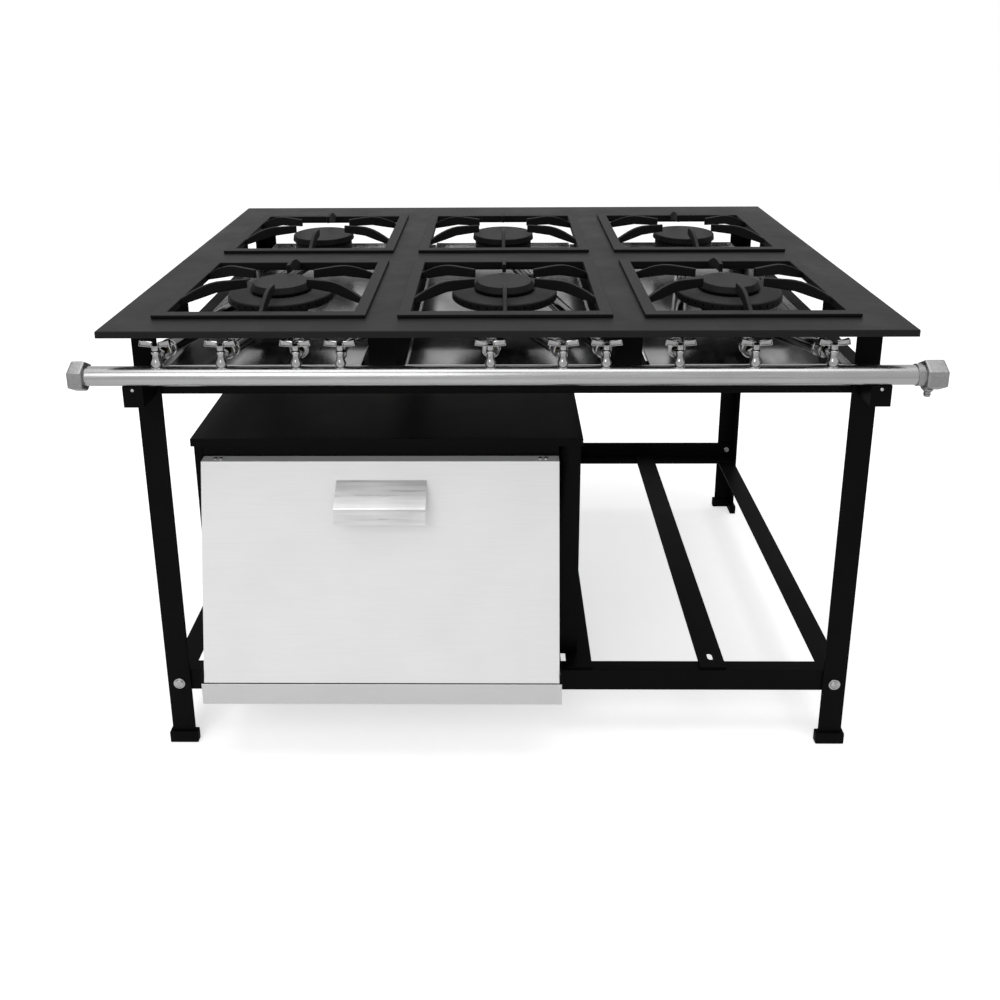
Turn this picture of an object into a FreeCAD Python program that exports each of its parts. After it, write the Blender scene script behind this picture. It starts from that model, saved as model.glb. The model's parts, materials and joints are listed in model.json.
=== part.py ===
import FreeCAD, Part
import math
import os
import re
import Sketcher

# Open-frame six-burner gas stove with a floor oven on its lower shelf, in millimetres.
# The origin is on the floor under the middle of the stove. +X is right, +Y is to the rear and +Z is up.

# Driving sizes
SIZES = {
    # table of folded channels with six square openings
    "table_width": 1250,
    "table_depth": 920,
    "table_height": 790,
    "channel_height": 11,
    "channel_wall": 2.5,
    "front_margin": 60,
    "grate_gap": 50,
    "row_gap": 72,
    "grate_seat": 14,
    # cast-iron grates
    "grate_side": 340,
    "grate_bar": 20,
    "grate_rise": 6,
    "rim_depth": 6,
    "rim_wall": 5,
    "finger_thickness": 7,
    "finger_crest": 27,
    "finger_end": 25,
    "finger_belly": 10,
    "finger_crest_run": 56,
    "finger_tip_radius": 60,
    "side_finger_root": 75,
    "side_finger_spread": 30,
    "finger_bite": 8,
    # angle-iron frame
    "angle_side": 40,
    "angle_wall": 4,
    "leg_inset_side": 33,
    "leg_inset_front": 53,
    "leg_inset_rear": 40,
    "shoe_wall": 5,
    "shoe_height": 22,
    "shoe_floor": 4,
    "shoe_gap": 0.2,
    "upper_rail_drop": 86,
    "lower_rail_top": 145,
    "lower_rail_flange": 25,
    "post_width": 44,
    "post_thickness": 4,
    # flat shelf bars
    "shelf_bar_width": 45,
    "shelf_bar_thickness": 4,
    "shelf_bar_oven_left": -488,
    "shelf_bar_oven_right": 129,
    "shelf_bar_open": 362,
    "shelf_slot_length": 20,
    "shelf_slot_width": 10,
    "shelf_slot_setback": 24,
    # carriage bolts of the legs
    "bolt_radius": 4,
    "bolt_head_radius": 10,
    "bolt_head_height": 4.5,
    "bolt_reach": 18,
    "bolt_drop": 25,
    "bolt_gap": 0.1,
    "nut_radius": 7.5,
    "nut_height": 6.5,
    # gas manifold
    "pipe_radius": 15.5,
    "pipe_wall": 3,
    "pipe_setback": 6,
    "manifold_length": 1340,
    "cap_length": 24,
    "cap_radius": 24.5,
    "inlet_length": 44,
    "socket_depth": 16,
    "socket_gap": 0.05,
    "nipple_radius": 5.5,
    "nipple_length": 10,
    "nipple_collar_radius": 8,
    "nipple_collar_height": 4,
    "nipple_setback": 22,
    "bracket_width": 32,
    "bracket_height": 35,
    "bracket_wall": 3,
    "screw_radius": 3,
    "screw_height": 2,
    "screw_drop": 6,
    # taps, placed from the middle of their burner column
    "tap_one": -145,
    "tap_two": -45,
    "tap_three": 70,
    "tap_four": 138,
    "tap_five": -22,
    "tap_six": 89,
    "tap_seven": 155,
    "tap_eight": -123,
    "tap_nine": -8,
    "tap_ten": 110,
    "tap_radius": 9,
    "tap_height": 26,
    "tap_sink": 5,
    "tap_outlet_rise": 14,
    "tap_outlet_radius": 6,
    "tap_outlet_length": 24,
    "injector_radius": 4.5,
    "injector_length": 12,
    "spindle_radius": 4,
    "spindle_depth": 12,
    "spindle_gap": 0.05,
    "handle_gap": 0.5,
    "hub_radius": 6,
    "hub_height": 9,
    "wing_reach": 25,
    "wing_depth": 9,
    "wing_thickness": 10,
    "wing_slope": 11,
    # burners and their mixer tubes
    "mixer_radius": 13,
    "mixer_bore": 9,
    "mixer_mouth_radius": 17,
    "mixer_mouth_length": 16,
    "mixer_mouth_gap": 4,
    "mixer_bore_depth": 60,
    "ring_radius": 91.5,
    "ring_inner_radius": 50,
    "ring_drop": 3,
    "ring_height": 16,
    "ring_rib": 12,
    "riser_radius": 14,
    "bowl_radius": 44,
    "single_bowl_radius": 60,
    "bowl_foot": 1,
    "bowl_bore": 30,
    "bowl_bore_depth": 24,
    "double_cap_radius": 53,
    "double_cap_lift": 13,
    "single_cap_radius": 65,
    "single_cap_lift": 1,
    "cap_height": 12,
    "cap_edge": 3,
    "cap_draw": 6,
    "cap_spigot_height": 6,
    "cap_spigot_gap": 0.5,
    # bars that carry the burners
    "carrier_width": 40,
    "carrier_thickness": 4,
    "lane_bar_gap": 2,
    "lane_bar_thickness": 4,
    "feed_port_gap": 2,
    "carrier_side_gap": 4,
    "hanger_width": 30,
    # drip trays
    "tray_width": 320,
    "tray_height": 8,
    "tray_wall": 1,
    "tray_gap": 4,
    # oven casing
    "oven_middle": -198,
    "oven_width": 650,
    "oven_depth": 552,
    "oven_top": 570,
    "oven_setback": 96,
    "sheet": 1.5,
    "base_sheet": 2,
    "cover_lip": 14,
    "cover_overhang": 8,
    "cover_side_gap": 1.5,
    "stop_depth": 6,
    "stop_height": 16,
    # oven mouth, liner and fittings
    "door_offset": -10,
    "mouth_width": 540,
    "mouth_sill": 28,
    "mouth_height": 348,
    "liner_sheet": 1,
    "liner_depth": 500,
    "floor_rise": 36,
    "floor_slot_length": 380,
    "floor_slot_width": 8,
    "runner_rise": 198,
    "runner_width": 10,
    "runner_thickness": 2,
    "rack_setback": 14,
    "rack_side_gap": 4,
    "rack_rod_radius": 4,
    "rack_wire_radius": 2.5,
    "rack_depth": 460,
    "oven_burner_radius": 12,
    "oven_burner_length": 470,
    "feed_radius": 5,
    "feed_wall": 1,
    "feed_hole_gap": 0.1,
    "feed_bend": 24,
    "feed_lead": 45,
    "feed_shift": 65,
    "feed_drop": 65,
    "feed_back_gap": 26,
    # leaning oven door
    "door_width": 595,
    "door_height": 374,
    "door_thickness": 20,
    "door_lean": 12.7,
    "door_lift": 21,
    "door_lead": 10,
    "door_seat_gap": 1,
    "door_skirt_gap": 0.5,
    "pin_rise": 12.5,
    "pin_radius": 4,
    "pin_gap": 0.05,
    "lug_gap": 1,
    "lug_thickness": 3,
    "lug_height": 40,
    "skirt_drop": 17,
    "skirt_top_gap": 1,
    "handle_width": 150,
    "handle_offset": 3,
    "handle_rise": 343,
    "handle_reach": 36,
    "handle_fall": 38,
    "handle_lip": 26,
    "handle_sheet": 2,
    "door_screw_radius": 3,
    "door_screw_height": 2,
    "door_screw_edge": 22,
    "door_screw_pitch": 9,
}

# Places and sizes worked out from the driving sizes
PLACES = {
    "skirt_lead": "door_lead + door_skirt_gap + sheet",
    "front_reach": "max(skirt_lead; cap_radius * cos(30) - pipe_setback)",
    "y_front": "-(table_depth - front_reach) / 2",
    "y_rear": "y_front + table_depth",
    "opening": "grate_side - 2 * grate_seat",
    "column_pitch": "grate_side + grate_gap",
    "side_width": "(table_width - 3 * grate_side - 2 * grate_gap) / 2 + grate_seat",
    "rear_width": "table_depth - front_margin - 2 * grate_side - row_gap + grate_seat",
    "front_row": "y_front + front_margin + grate_side / 2",
    "rear_row": "front_row + grate_side + row_gap",
    "channel_floor": "table_height - channel_height",
    "table_underside": "table_height - channel_wall",
    "leg_x": "table_width / 2 - leg_inset_side",
    "leg_y_front": "y_front + leg_inset_front",
    "leg_y_rear": "y_rear - leg_inset_rear",
    "leg_height": "table_underside - shoe_floor",
    "upper_rail_top": "table_height - upper_rail_drop",
    "rail_x": "leg_x - angle_wall",
    "rail_y_front": "leg_y_front + angle_wall",
    "rail_y_rear": "leg_y_rear - angle_wall",
    "side_rail_y": "rail_y_front + angle_wall",
    "side_rail_length": "rail_y_rear - angle_wall - side_rail_y",
    "shelf_top": "lower_rail_top + shelf_bar_thickness",
    "pipe_y": "y_front + pipe_setback",
    "bracket_top": "upper_rail_top - angle_wall",
    "pipe_z": "bracket_top + pipe_radius",
    "manifold_end": "manifold_length / 2",
    "tap_floor": "pipe_z + pipe_radius - tap_sink",
    "tap_top": "pipe_z + pipe_radius + tap_height",
    "outlet_z": "pipe_z + pipe_radius + tap_outlet_rise",
    "mouth_y": "pipe_y + tap_outlet_length + injector_length + mixer_mouth_gap",
    "burner_floor": "outlet_z - mixer_radius - bowl_foot",
    "ring_top": "table_height - ring_drop",
    "double_bowl_top": "table_height + double_cap_lift - cap_height",
    "single_bowl_top": "table_height + single_cap_lift - cap_height",
    "finger_dx": "grate_side / 2 - grate_bar - finger_tip_radius * cos(side_finger_spread)",
    "finger_dy": "side_finger_root - finger_tip_radius * sin(side_finger_spread)",
    "side_finger_length": "sqrt(finger_dx ^ 2 + finger_dy ^ 2)",
    "side_finger_turn": "atan(finger_dy / finger_dx) / 1 deg",
    "middle_finger_length": "grate_side / 2 - grate_bar - finger_tip_radius",
    "oven_left": "oven_middle - oven_width / 2",
    "oven_front": "y_front + oven_setback",
    "oven_floor_top": "shelf_top + base_sheet",
    "cover_underside": "oven_top - sheet",
    "oven_wall_height": "cover_underside - oven_floor_top",
    "liner_front": "oven_front + sheet",
    "door_middle": "oven_middle + door_offset",
    "door_left": "door_middle - door_width / 2",
    "door_right": "door_left + door_width",
    "door_y": "y_front - door_lead",
    "door_z": "oven_floor_top + door_lift",
    "mouth_left": "door_middle - mouth_width / 2",
    "mouth_right": "mouth_left + mouth_width",
    "mouth_floor": "oven_floor_top + mouth_sill",
    "mouth_roof": "mouth_floor + mouth_height",
    "pin_y": "door_y + pin_rise * sin(door_lean) + door_thickness / 2 * cos(door_lean)",
    "pin_z": "door_z + pin_rise * cos(door_lean) - door_thickness / 2 * sin(door_lean)",
    "seat_y": "door_y + (door_thickness + door_seat_gap) / cos(door_lean) - door_lift * tan(door_lean)",
    "cheek_foot_y": "pin_y + sqrt((door_thickness / 2) ^ 2 + pin_rise ^ 2) + door_seat_gap",
    "skirt_left": "door_left - lug_gap - lug_thickness",
    "skirt_y": "y_front - skirt_lead",
    "oven_plate": "oven_floor_top + floor_rise",
    "runner_z": "oven_plate + runner_rise",
    "rack_z": "runner_z + runner_thickness + rack_rod_radius",
    "oven_burner_z": "(oven_floor_top + oven_plate - base_sheet) / 2",
    "oven_back_y": "oven_front + oven_depth",
}

doc = FreeCAD.newDocument("industrial_stove")
sizes = doc.addObject("Spreadsheet::Sheet", "Sizes")
for row, (alias, value) in enumerate(SIZES.items(), 1):
    sizes.set(f"A{row}", alias)
    sizes.set(f"B{row}", str(value))
    sizes.setAlias(f"B{row}", alias)
doc.recompute()


def bound(formula, own_sheet=False):
    """A formula of plain words as an expression on the sheets' cells."""
    def cell(match):
        word = match.group(0)
        if word in SIZES:
            return "Sizes." + word
        if word in PLACES and not own_sheet:
            return "Places." + word
        return word
    return re.sub(r"[a-z_]+", cell, str(formula))


places = doc.addObject("Spreadsheet::Sheet", "Places")
for row, (alias, formula) in enumerate(PLACES.items(), 1):
    places.set(f"A{row}", alias)
    places.set(f"B{row}", "=" + bound(formula, own_sheet=True))
    places.setAlias(f"B{row}", alias)
    doc.recompute()


def value_of(formula):
    return float(places.evalExpression(bound(formula)))


nodes = []


def node(label, piece):
    """Names a finished sub-part, which is written to its own file."""
    piece.Label = label
    nodes.append(piece)
    return piece


def place(piece, x, y, z):
    for axis, formula in zip("xyz", (x, y, z)):
        piece.setExpression("Placement.Base." + axis, bound(formula))
    return piece


def turn(piece, axis, angle):
    """Turns a piece about one axis through its own origin."""
    piece.Placement = FreeCAD.Placement(FreeCAD.Vector(), FreeCAD.Rotation(FreeCAD.Vector(*axis), 1))
    piece.setExpression("Placement.Rotation.Angle", bound(angle))
    return piece


def box(name, x, y, z, length, width, height):
    piece = doc.addObject("Part::Box", name)
    for size, formula in zip(("Length", "Width", "Height"), (length, width, height)):
        piece.setExpression(size, bound(formula))
    return place(piece, x, y, z)


ALONG = {"x": ((0, 1, 0), "90"), "y": ((1, 0, 0), "-90")}


def rod(name, x, y, z, radius, length, along="z"):
    piece = doc.addObject("Part::Cylinder", name)
    piece.setExpression("Radius", bound(radius))
    piece.setExpression("Height", bound(length))
    if along in ALONG:
        turn(piece, *ALONG[along])
    return place(piece, x, y, z)


def cone(name, x, y, z, radius_low, radius_high, length, along="z"):
    piece = doc.addObject("Part::Cone", name)
    piece.setExpression("Radius1", bound(radius_low))
    piece.setExpression("Radius2", bound(radius_high))
    piece.setExpression("Height", bound(length))
    if along in ALONG:
        turn(piece, *ALONG[along])
    return place(piece, x, y, z)


def hexagon(name, x, y, z, radius, length, along="z"):
    piece = doc.addObject("Part::Prism", name)
    piece.Polygon = 6
    piece.setExpression("Circumradius", bound(radius))
    piece.setExpression("Height", bound(length))
    if along in ALONG:
        turn(piece, *ALONG[along])
    return place(piece, x, y, z)


def fuse(name, *pieces):
    made = doc.addObject("Part::MultiFuse", name)
    made.Shapes = list(pieces)
    return made


def cut(name, base, *tools):
    made = doc.addObject("Part::Cut", name)
    made.Base = base
    made.Tool = tools[0] if len(tools) == 1 else fuse(name + "_tools", *tools)
    return made


def group(label, pieces):
    """Like pieces that share one node, each its own solid."""
    made = doc.addObject("Part::Compound", label)
    made.Links = list(pieces)
    return node(label, made)


def profile(name, points, thickness):
    """An outline in the piece's own YZ plane, drawn as a sketch and padded along X."""
    body = doc.addObject("PartDesign::Body", name)
    sketch = body.newObject("Sketcher::SketchObject", name + "_sketch")
    plane = next(o for o in body.Origin.OriginFeatures if o.Role == "YZ_Plane")
    sketch.AttachmentSupport = (plane, [""])
    sketch.MapMode = "FlatFace"
    corners = [FreeCAD.Vector(value_of(y), value_of(z), 0) for y, z in points]
    count = len(corners)
    for i in range(count):
        sketch.addGeometry(Part.LineSegment(corners[i], corners[(i + 1) % count]), False)
    for i in range(count):
        sketch.addConstraint(Sketcher.Constraint("Coincident", i, 2, (i + 1) % count, 1))
    for i, (y, z) in enumerate(points):
        for way, start, formula in (("DistanceX", corners[i].x, y), ("DistanceY", corners[i].y, z)):
            index = sketch.addConstraint(Sketcher.Constraint(way, i, 1, start))
            sketch.setExpression(f"Constraints[{index}]", bound(formula))
    pad = body.newObject("PartDesign::Pad", name + "_pad")
    pad.Profile = sketch
    pad.setExpression("Length", bound(thickness))
    return body


def channel(name, x, y, length, width):
    """A folded sheet bar of the table, open below, with a lip on every side."""
    outer = box(name + "_outer", x, y, "channel_floor", length, width, "channel_height")
    inner = box(name + "_inner", f"{x} + channel_wall", f"{y} + channel_wall", "channel_floor",
                f"{length} - 2 * channel_wall", f"{width} - 2 * channel_wall",
                "channel_height - channel_wall")
    return cut(name, outer, inner)


def angle(name, corner, size, opens, wall="angle_wall"):
    """An angle iron: a bar cut away on the two sides that it opens to (+1 or -1 on an axis)."""
    outer = box(name + "_outer", *corner, *size)
    shifted = [f"{c} + ({o}) * ({wall})" for c, o in zip(corner, opens)]
    return cut(name, outer, box(name + "_inner", *shifted, *size))


# Table: two full-depth side channels, three cross channels between them and four dividers
group("top_side_channels", [
    channel("left_channel", "-table_width / 2", "y_front", "side_width", "table_depth"),
    channel("right_channel", "table_width / 2 - side_width", "y_front", "side_width", "table_depth"),
])
cross_x = "-table_width / 2 + side_width"
cross_length = "(table_width - 2 * side_width)"
group("top_cross_channels", [
    channel("front_channel", cross_x, "y_front", cross_length, "(front_margin + grate_seat)"),
    channel("middle_channel", cross_x, "front_row + opening / 2", cross_length, "(row_gap + 2 * grate_seat)"),
    channel("rear_channel", cross_x, "y_rear - rear_width", cross_length, "rear_width"),
])
dividers = []
for row in ("front", "rear"):
    for side, place_x in (("left", "-column_pitch / 2"), ("right", "column_pitch / 2")):
        dividers.append(channel(f"{row}_{side}_divider", f"{place_x} - grate_gap / 2 - grate_seat",
                                f"{row}_row - opening / 2", "(grate_gap + 2 * grate_seat)", "opening"))
group("top_dividers", dividers)


# Legs of angle iron, corner outwards, with a bolt hole for each lower cross rail
bolt_x = "(leg_x - angle_side / 2)"
bolt_z = {"front": "lower_rail_top - bolt_drop", "rear": "lower_rail_top + angle_side / 2"}
bolts = []
for end, sign in (("front", 1), ("rear", -1)):
    for side, hand in (("left", -1), ("right", 1)):
        name = f"leg_{end}_{side}"
        x = "-leg_x" if hand < 0 else "leg_x - angle_side"
        y = "leg_y_front" if sign > 0 else "leg_y_rear - angle_side"
        iron = angle(name + "_iron", (x, y, "shoe_floor"), ("angle_side", "angle_side", "leg_height"),
                     (-hand, sign, 0))
        bore_y = "leg_y_front - angle_wall" if sign > 0 else "leg_y_rear - 2 * angle_wall"
        bore = rod(name + "_bore", f"{hand} * {bolt_x}", bore_y, bolt_z[end], "bolt_radius + bolt_gap",
                   "3 * angle_wall", "y")
        node(name, cut(name, iron, bore))
        face = f"leg_y_{end}"
        head_y = f"{face} - bolt_head_height" if sign > 0 else face
        shank_y = f"{face} - 1" if sign > 0 else f"{face} - bolt_reach"
        nut_y = f"{face} + 2 * angle_wall" if sign > 0 else f"{face} - 2 * angle_wall - nut_height"
        head = cone(name + "_head", f"{hand} * {bolt_x}", head_y, bolt_z[end],
                    "bolt_head_radius * 0.55" if sign > 0 else "bolt_head_radius",
                    "bolt_head_radius" if sign > 0 else "bolt_head_radius * 0.55", "bolt_head_height", "y")
        shank = rod(name + "_shank", f"{hand} * {bolt_x}", shank_y, bolt_z[end], "bolt_radius",
                    "bolt_reach + 1", "y")
        bolts.append(fuse(name + "_bolt", head, shank))
        nut = hexagon(name + "_nut_blank", f"{hand} * {bolt_x}", nut_y, bolt_z[end], "nut_radius",
                      "nut_height", "y")
        nut_bore = rod(name + "_nut_bore", f"{hand} * {bolt_x}", f"{nut_y} - 1", bolt_z[end],
                       "bolt_radius + bolt_gap", "nut_height + 2", "y")
        bolts.append(cut(name + "_nut", nut, nut_bore))
group("leg_bolts", bolts)

# Shoes: moulded sleeves that follow the angle of the leg ends
def shoe_angle(name, hand, sign, spread, z):
    """An upright angle round a leg's end, larger than the iron by a spread on every side."""
    x = "-leg_x" if hand < 0 else "leg_x - angle_side"
    y = "leg_y_front" if sign > 0 else "leg_y_rear - angle_side"
    side = f"angle_side + 2 * {spread}"
    return angle(name, (f"{x} - {spread}", f"{y} - {spread}", z), (side, side, "shoe_height"),
                 (-hand, sign, 0),
                 f"angle_wall + 2 * {spread}")


shoes = []
for end, sign in (("front", 1), ("rear", -1)):
    for side, hand in (("left", -1), ("right", 1)):
        name = f"{end}_{side}_shoe"
        sleeve = shoe_angle(name + "_sleeve", hand, sign, "(shoe_gap + shoe_wall)", "0")
        shoes.append(cut(name, sleeve, shoe_angle(name + "_hollow", hand, sign, "shoe_gap", "shoe_floor")))
group("leg_shoes", shoes)

# Upper and lower rails: cross rails behind the leg faces, side rails one wall lower under their flanges
rail_length = "2 * rail_x"
upper_rails = [
    angle("upper_front_rail", ("-rail_x", "rail_y_front", "upper_rail_top - angle_side"),
          (rail_length, "angle_side", "angle_side"), (0, 1, -1)),
    angle("upper_rear_rail", ("-rail_x", "rail_y_rear - angle_side", "upper_rail_top - angle_side"),
          (rail_length, "angle_side", "angle_side"), (0, -1, -1)),
]
group("upper_cross_rails", upper_rails)
lower_rails = []
for end in ("front", "rear"):
    rises = end == "rear"
    y = "rail_y_rear - angle_side" if rises else "rail_y_front"
    z = "lower_rail_top - angle_wall" if rises else "lower_rail_top - angle_side"
    flange = "angle_side" if rises else "lower_rail_flange"
    iron = angle(f"lower_{end}_iron", ("-rail_x", y, z), (rail_length, flange, "angle_side"),
                 (0, -1, 1) if rises else (0, 1, -1))
    bores = []
    for side, hand in (("left", -1), ("right", 1)):
        bore_y = "rail_y_rear - 2 * angle_wall" if rises else "rail_y_front - angle_wall"
        bores.append(rod(f"lower_{end}_{side}_bore", f"{hand} * {bolt_x}", bore_y, bolt_z[end],
                         "bolt_radius + bolt_gap", "3 * angle_wall", "y"))
    lower_rails.append(cut(f"lower_{end}_rail", iron, *bores))
group("lower_cross_rails", lower_rails)
for level in ("upper", "lower"):
    pair = []
    for side, hand in (("left", -1), ("right", 1)):
        x = "-rail_x" if hand < 0 else "rail_x - angle_side"
        z = f"{level}_rail_top - angle_wall - angle_side"
        pair.append(angle(f"{level}_{side}_rail", (x, "side_rail_y", z),
                          ("angle_side", "side_rail_length", "angle_side"), (-hand, 0, -1)))
    group(f"{level}_side_rails", pair)

# Flat shelf bars on the lower cross rails; the open one has a long bolt slot near its front end
bars = {
    spot: box(f"{spot}_bar", f"shelf_bar_{spot} - shelf_bar_width / 2", "side_rail_y", "lower_rail_top",
              "shelf_bar_width", "side_rail_length", "shelf_bar_thickness")
    for spot in ("oven_left", "oven_right", "open")
}
slot_y = "side_rail_y + shelf_slot_setback"
slot_run = "(shelf_slot_length - shelf_slot_width)"
bolt_slot = fuse("bolt_slot",
                 box("bolt_slot_middle", "shelf_bar_open - shelf_slot_width / 2", slot_y,
                     "lower_rail_top - 1", "shelf_slot_width", slot_run, "shelf_bar_thickness + 2"),
                 rod("bolt_slot_near", "shelf_bar_open", slot_y, "lower_rail_top - 1", "shelf_slot_width / 2",
                     "shelf_bar_thickness + 2"),
                 rod("bolt_slot_far", "shelf_bar_open", f"{slot_y} + {slot_run}", "lower_rail_top - 1",
                     "shelf_slot_width / 2", "shelf_bar_thickness + 2"))
bars["open"] = cut("open_slotted_bar", bars["open"], bolt_slot)
group("shelf_bars", list(bars.values()))

# Posts between the burner columns and hangers that carry the burners' cross bars
posts = []
for side, hand in (("left", -1), ("right", 1)):
    x = f"({hand}) * column_pitch / 2 - post_width / 2"
    for end, y in (("front", "rail_y_front"), ("rear", "rail_y_rear - post_thickness")):
        posts.append(box(f"{end}_{side}_post", x, y, "upper_rail_top", "post_width", "post_thickness",
                         "table_underside - upper_rail_top"))
    for row in ("front", "rear"):
        for spot, middle in (("inner", "column_pitch / 2"), ("outer", "(leg_x - angle_side / 2)")):
            posts.append(box(f"{row}_{side}_{spot}_hanger", f"({hand}) * {middle} - hanger_width / 2",
                             f"{row}_row - post_thickness / 2", "burner_floor", "hanger_width",
                             "post_thickness", "table_underside - burner_floor"))
group("table_posts", posts)
burner_bars = [
    box(f"{row}_burner_bar", "-rail_x + carrier_side_gap", f"{row}_row - carrier_width / 2",
        "burner_floor - carrier_thickness", "2 * (rail_x - carrier_side_gap)", "carrier_width",
        "carrier_thickness")
    for row in ("front", "rear")
]

# Flat bars that fill the lanes between the trays; the oven's feed tube passes down through the left one
feed_port = rod("feed_port", "door_middle", "pipe_y + tap_outlet_length + feed_lead + feed_shift",
                "upper_rail_top - 1", "feed_radius + feed_port_gap", "lane_bar_thickness + 2")
lane_bar_width = "(column_pitch - tray_width - 2 * lane_bar_gap)"
for side, hand in (("left", -1), ("right", 1)):
    lane = box(f"{side}_lane_bar", f"({hand}) * column_pitch / 2 - {lane_bar_width} / 2",
               "rail_y_front + post_thickness", "upper_rail_top", lane_bar_width,
               "rail_y_rear - rail_y_front - 2 * post_thickness", "lane_bar_thickness")
    burner_bars.append(cut(f"{side}_ported_lane_bar", lane, feed_port) if hand < 0 else lane)
group("burner_bars", burner_bars)


# Gas manifold: a pipe across the front, capped at the left and fed at the right through a hexagonal fitting
pipe_x = "(-manifold_end + cap_length - socket_depth)"
pipe_end = "(manifold_end - inlet_length + socket_depth)"
pipe_solid = rod("pipe_solid", pipe_x, "pipe_y", "pipe_z", "pipe_radius", f"{pipe_end} - {pipe_x}", "x")
pipe_bore = rod("pipe_bore", f"{pipe_x} - 1", "pipe_y", "pipe_z", "pipe_radius - pipe_wall",
                f"{pipe_end} - {pipe_x} + 2", "x")
node("gas_manifold", cut("gas_manifold", pipe_solid, pipe_bore))
cap_blank = hexagon("cap_blank", "-manifold_end", "pipe_y", "pipe_z", "cap_radius", "cap_length", "x")
cap_socket = rod("cap_socket", pipe_x, "pipe_y", "pipe_z", "pipe_radius + socket_gap", "socket_depth + 1",
                 "x")
node("manifold_cap", cut("manifold_cap", cap_blank, cap_socket))
inlet_x = "(manifold_end - inlet_length)"
inlet_blank = hexagon("inlet_blank", inlet_x, "pipe_y", "pipe_z", "cap_radius", "inlet_length", "x")
inlet_socket = rod("inlet_socket", f"{inlet_x} - 1", "pipe_y", "pipe_z", "pipe_radius + socket_gap",
                   "socket_depth + 1", "x")
nipple_x = "(manifold_end - nipple_setback)"
nipple_top = "(pipe_z - cap_radius * cos(30))"
inlet_port = rod("inlet_port", nipple_x, "pipe_y", f"{nipple_top} - 1", "nipple_radius / 2", "cap_radius")
nipple_spot = rod("nipple_spot", nipple_x, "pipe_y", f"{nipple_top} - cap_radius", "nipple_collar_radius + 1",
                  "cap_radius")
nipple_blank = fuse(
    "nipple_blank",
    rod("nipple_collar", nipple_x, "pipe_y", f"{nipple_top} - nipple_collar_height", "nipple_collar_radius",
        "nipple_collar_height"),
    rod("nipple_stem", nipple_x, "pipe_y", f"{nipple_top} - nipple_collar_height - nipple_length",
        "nipple_radius", "nipple_length + 1"))
nipple_bore = rod("nipple_bore", nipple_x, "pipe_y",
                  f"{nipple_top} - nipple_collar_height - nipple_length - 1",
                  "nipple_radius / 2", "nipple_length + nipple_collar_height + 2")
group("manifold_inlet", [
    cut("inlet_fitting", inlet_blank, inlet_socket, inlet_port, nipple_spot),
    cut("hose_nipple", nipple_blank, nipple_bore),
])

# Brackets in front of the legs carry the pipe, each with a screw in its face
brackets = []
screws = []
for side, hand in (("left", -1), ("right", 1)):
    x = "-leg_x" if hand < 0 else "leg_x - bracket_width"
    shell = box(f"{side}_bracket_shell", x, "y_front", "bracket_top - bracket_height", "bracket_width",
                "leg_inset_front", "bracket_height")
    hollow = box(f"{side}_bracket_hollow", f"{x} + bracket_wall", "y_front + bracket_wall",
                 "bracket_top - bracket_height + bracket_wall", "bracket_width - 2 * bracket_wall",
                 "leg_inset_front", "bracket_height - 2 * bracket_wall")
    brackets.append(cut(f"{side}_bracket", shell, hollow))
    screws.append(rod(f"{side}_screw", f"{x} + bracket_width / 2", "y_front - screw_height",
                      "bracket_top - screw_drop", "screw_radius", "screw_height", "y"))
group("manifold_brackets", brackets)
group("manifold_screws", screws)

# Taps: body on the pipe with its outlet to the rear, brass injector, and a handle with two raised wings
TAPS = [
    ("one", -1), ("two", -1), ("three", -1), ("four", -1),
    ("five", 0), ("six", 0), ("seven", 0),
    ("eight", 1), ("nine", 1), ("ten", 1),
]
OVEN_TAP = "four"
tap_bodies = []
injectors = []
for word, column in TAPS:
    x = f"(({column}) * column_pitch + tap_{word})"
    stock = fuse(
        f"tap_{word}_stock",
        rod(f"tap_{word}_foot", x, "pipe_y", "tap_floor", "tap_radius * 0.75", "tap_sink + tap_height * 0.3"),
        cone(f"tap_{word}_barrel", x, "pipe_y", "tap_top - tap_height * 0.8", "tap_radius",
             "tap_radius * 0.75", "tap_height * 0.8"),
        rod(f"tap_{word}_outlet", x, "pipe_y", "outlet_z", "tap_outlet_radius", "tap_outlet_length", "y"),
        hexagon(f"tap_{word}_nut", x, "pipe_y + tap_outlet_length * 0.55", "outlet_z",
                "tap_outlet_radius * 1.35", "tap_outlet_length * 0.3", "y"))
    saddle = rod(f"tap_{word}_saddle", f"{x} - 2 * tap_radius", "pipe_y", "pipe_z",
                 "pipe_radius + socket_gap", "4 * tap_radius", "x")
    seat = rod(f"tap_{word}_seat", x, "pipe_y", "tap_top - spindle_depth - handle_gap",
               "spindle_radius + spindle_gap", "spindle_depth + 1")
    tap_bodies.append(cut(f"tap_{word}_body", stock, saddle, seat))
    if word != OVEN_TAP:
        injectors.append(cone(f"injector_{word}", x, "pipe_y + tap_outlet_length", "outlet_z",
                              "injector_radius", "injector_radius * 0.4", "injector_length", "y"))
    hub = rod(f"tap_{word}_hub", x, "pipe_y", "tap_top + handle_gap", "hub_radius", "hub_height")
    spindle = rod(f"tap_{word}_spindle", x, "pipe_y", "tap_top - spindle_depth", "spindle_radius",
                  "spindle_depth + hub_height")
    wings = []
    for side, slope in (("left", "180 + wing_slope"), ("right", "-wing_slope")):
        wing = box(f"tap_{word}_{side}_wing", "0", "0", "0", "wing_reach", "wing_depth", "wing_thickness")
        turn(wing, (0, 1, 0), slope)
        lift = "wing_thickness" if side == "left" else "0"
        wing_z = f"tap_top + handle_gap + hub_height * 0.35 + {lift}"
        wings.append(place(wing, x, "pipe_y - wing_depth / 2", wing_z))
    node(f"tap_handle_{word}", fuse(f"tap_handle_{word}", hub, spindle, *wings))
group("tap_bodies", tap_bodies)
group("injectors", injectors)


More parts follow.
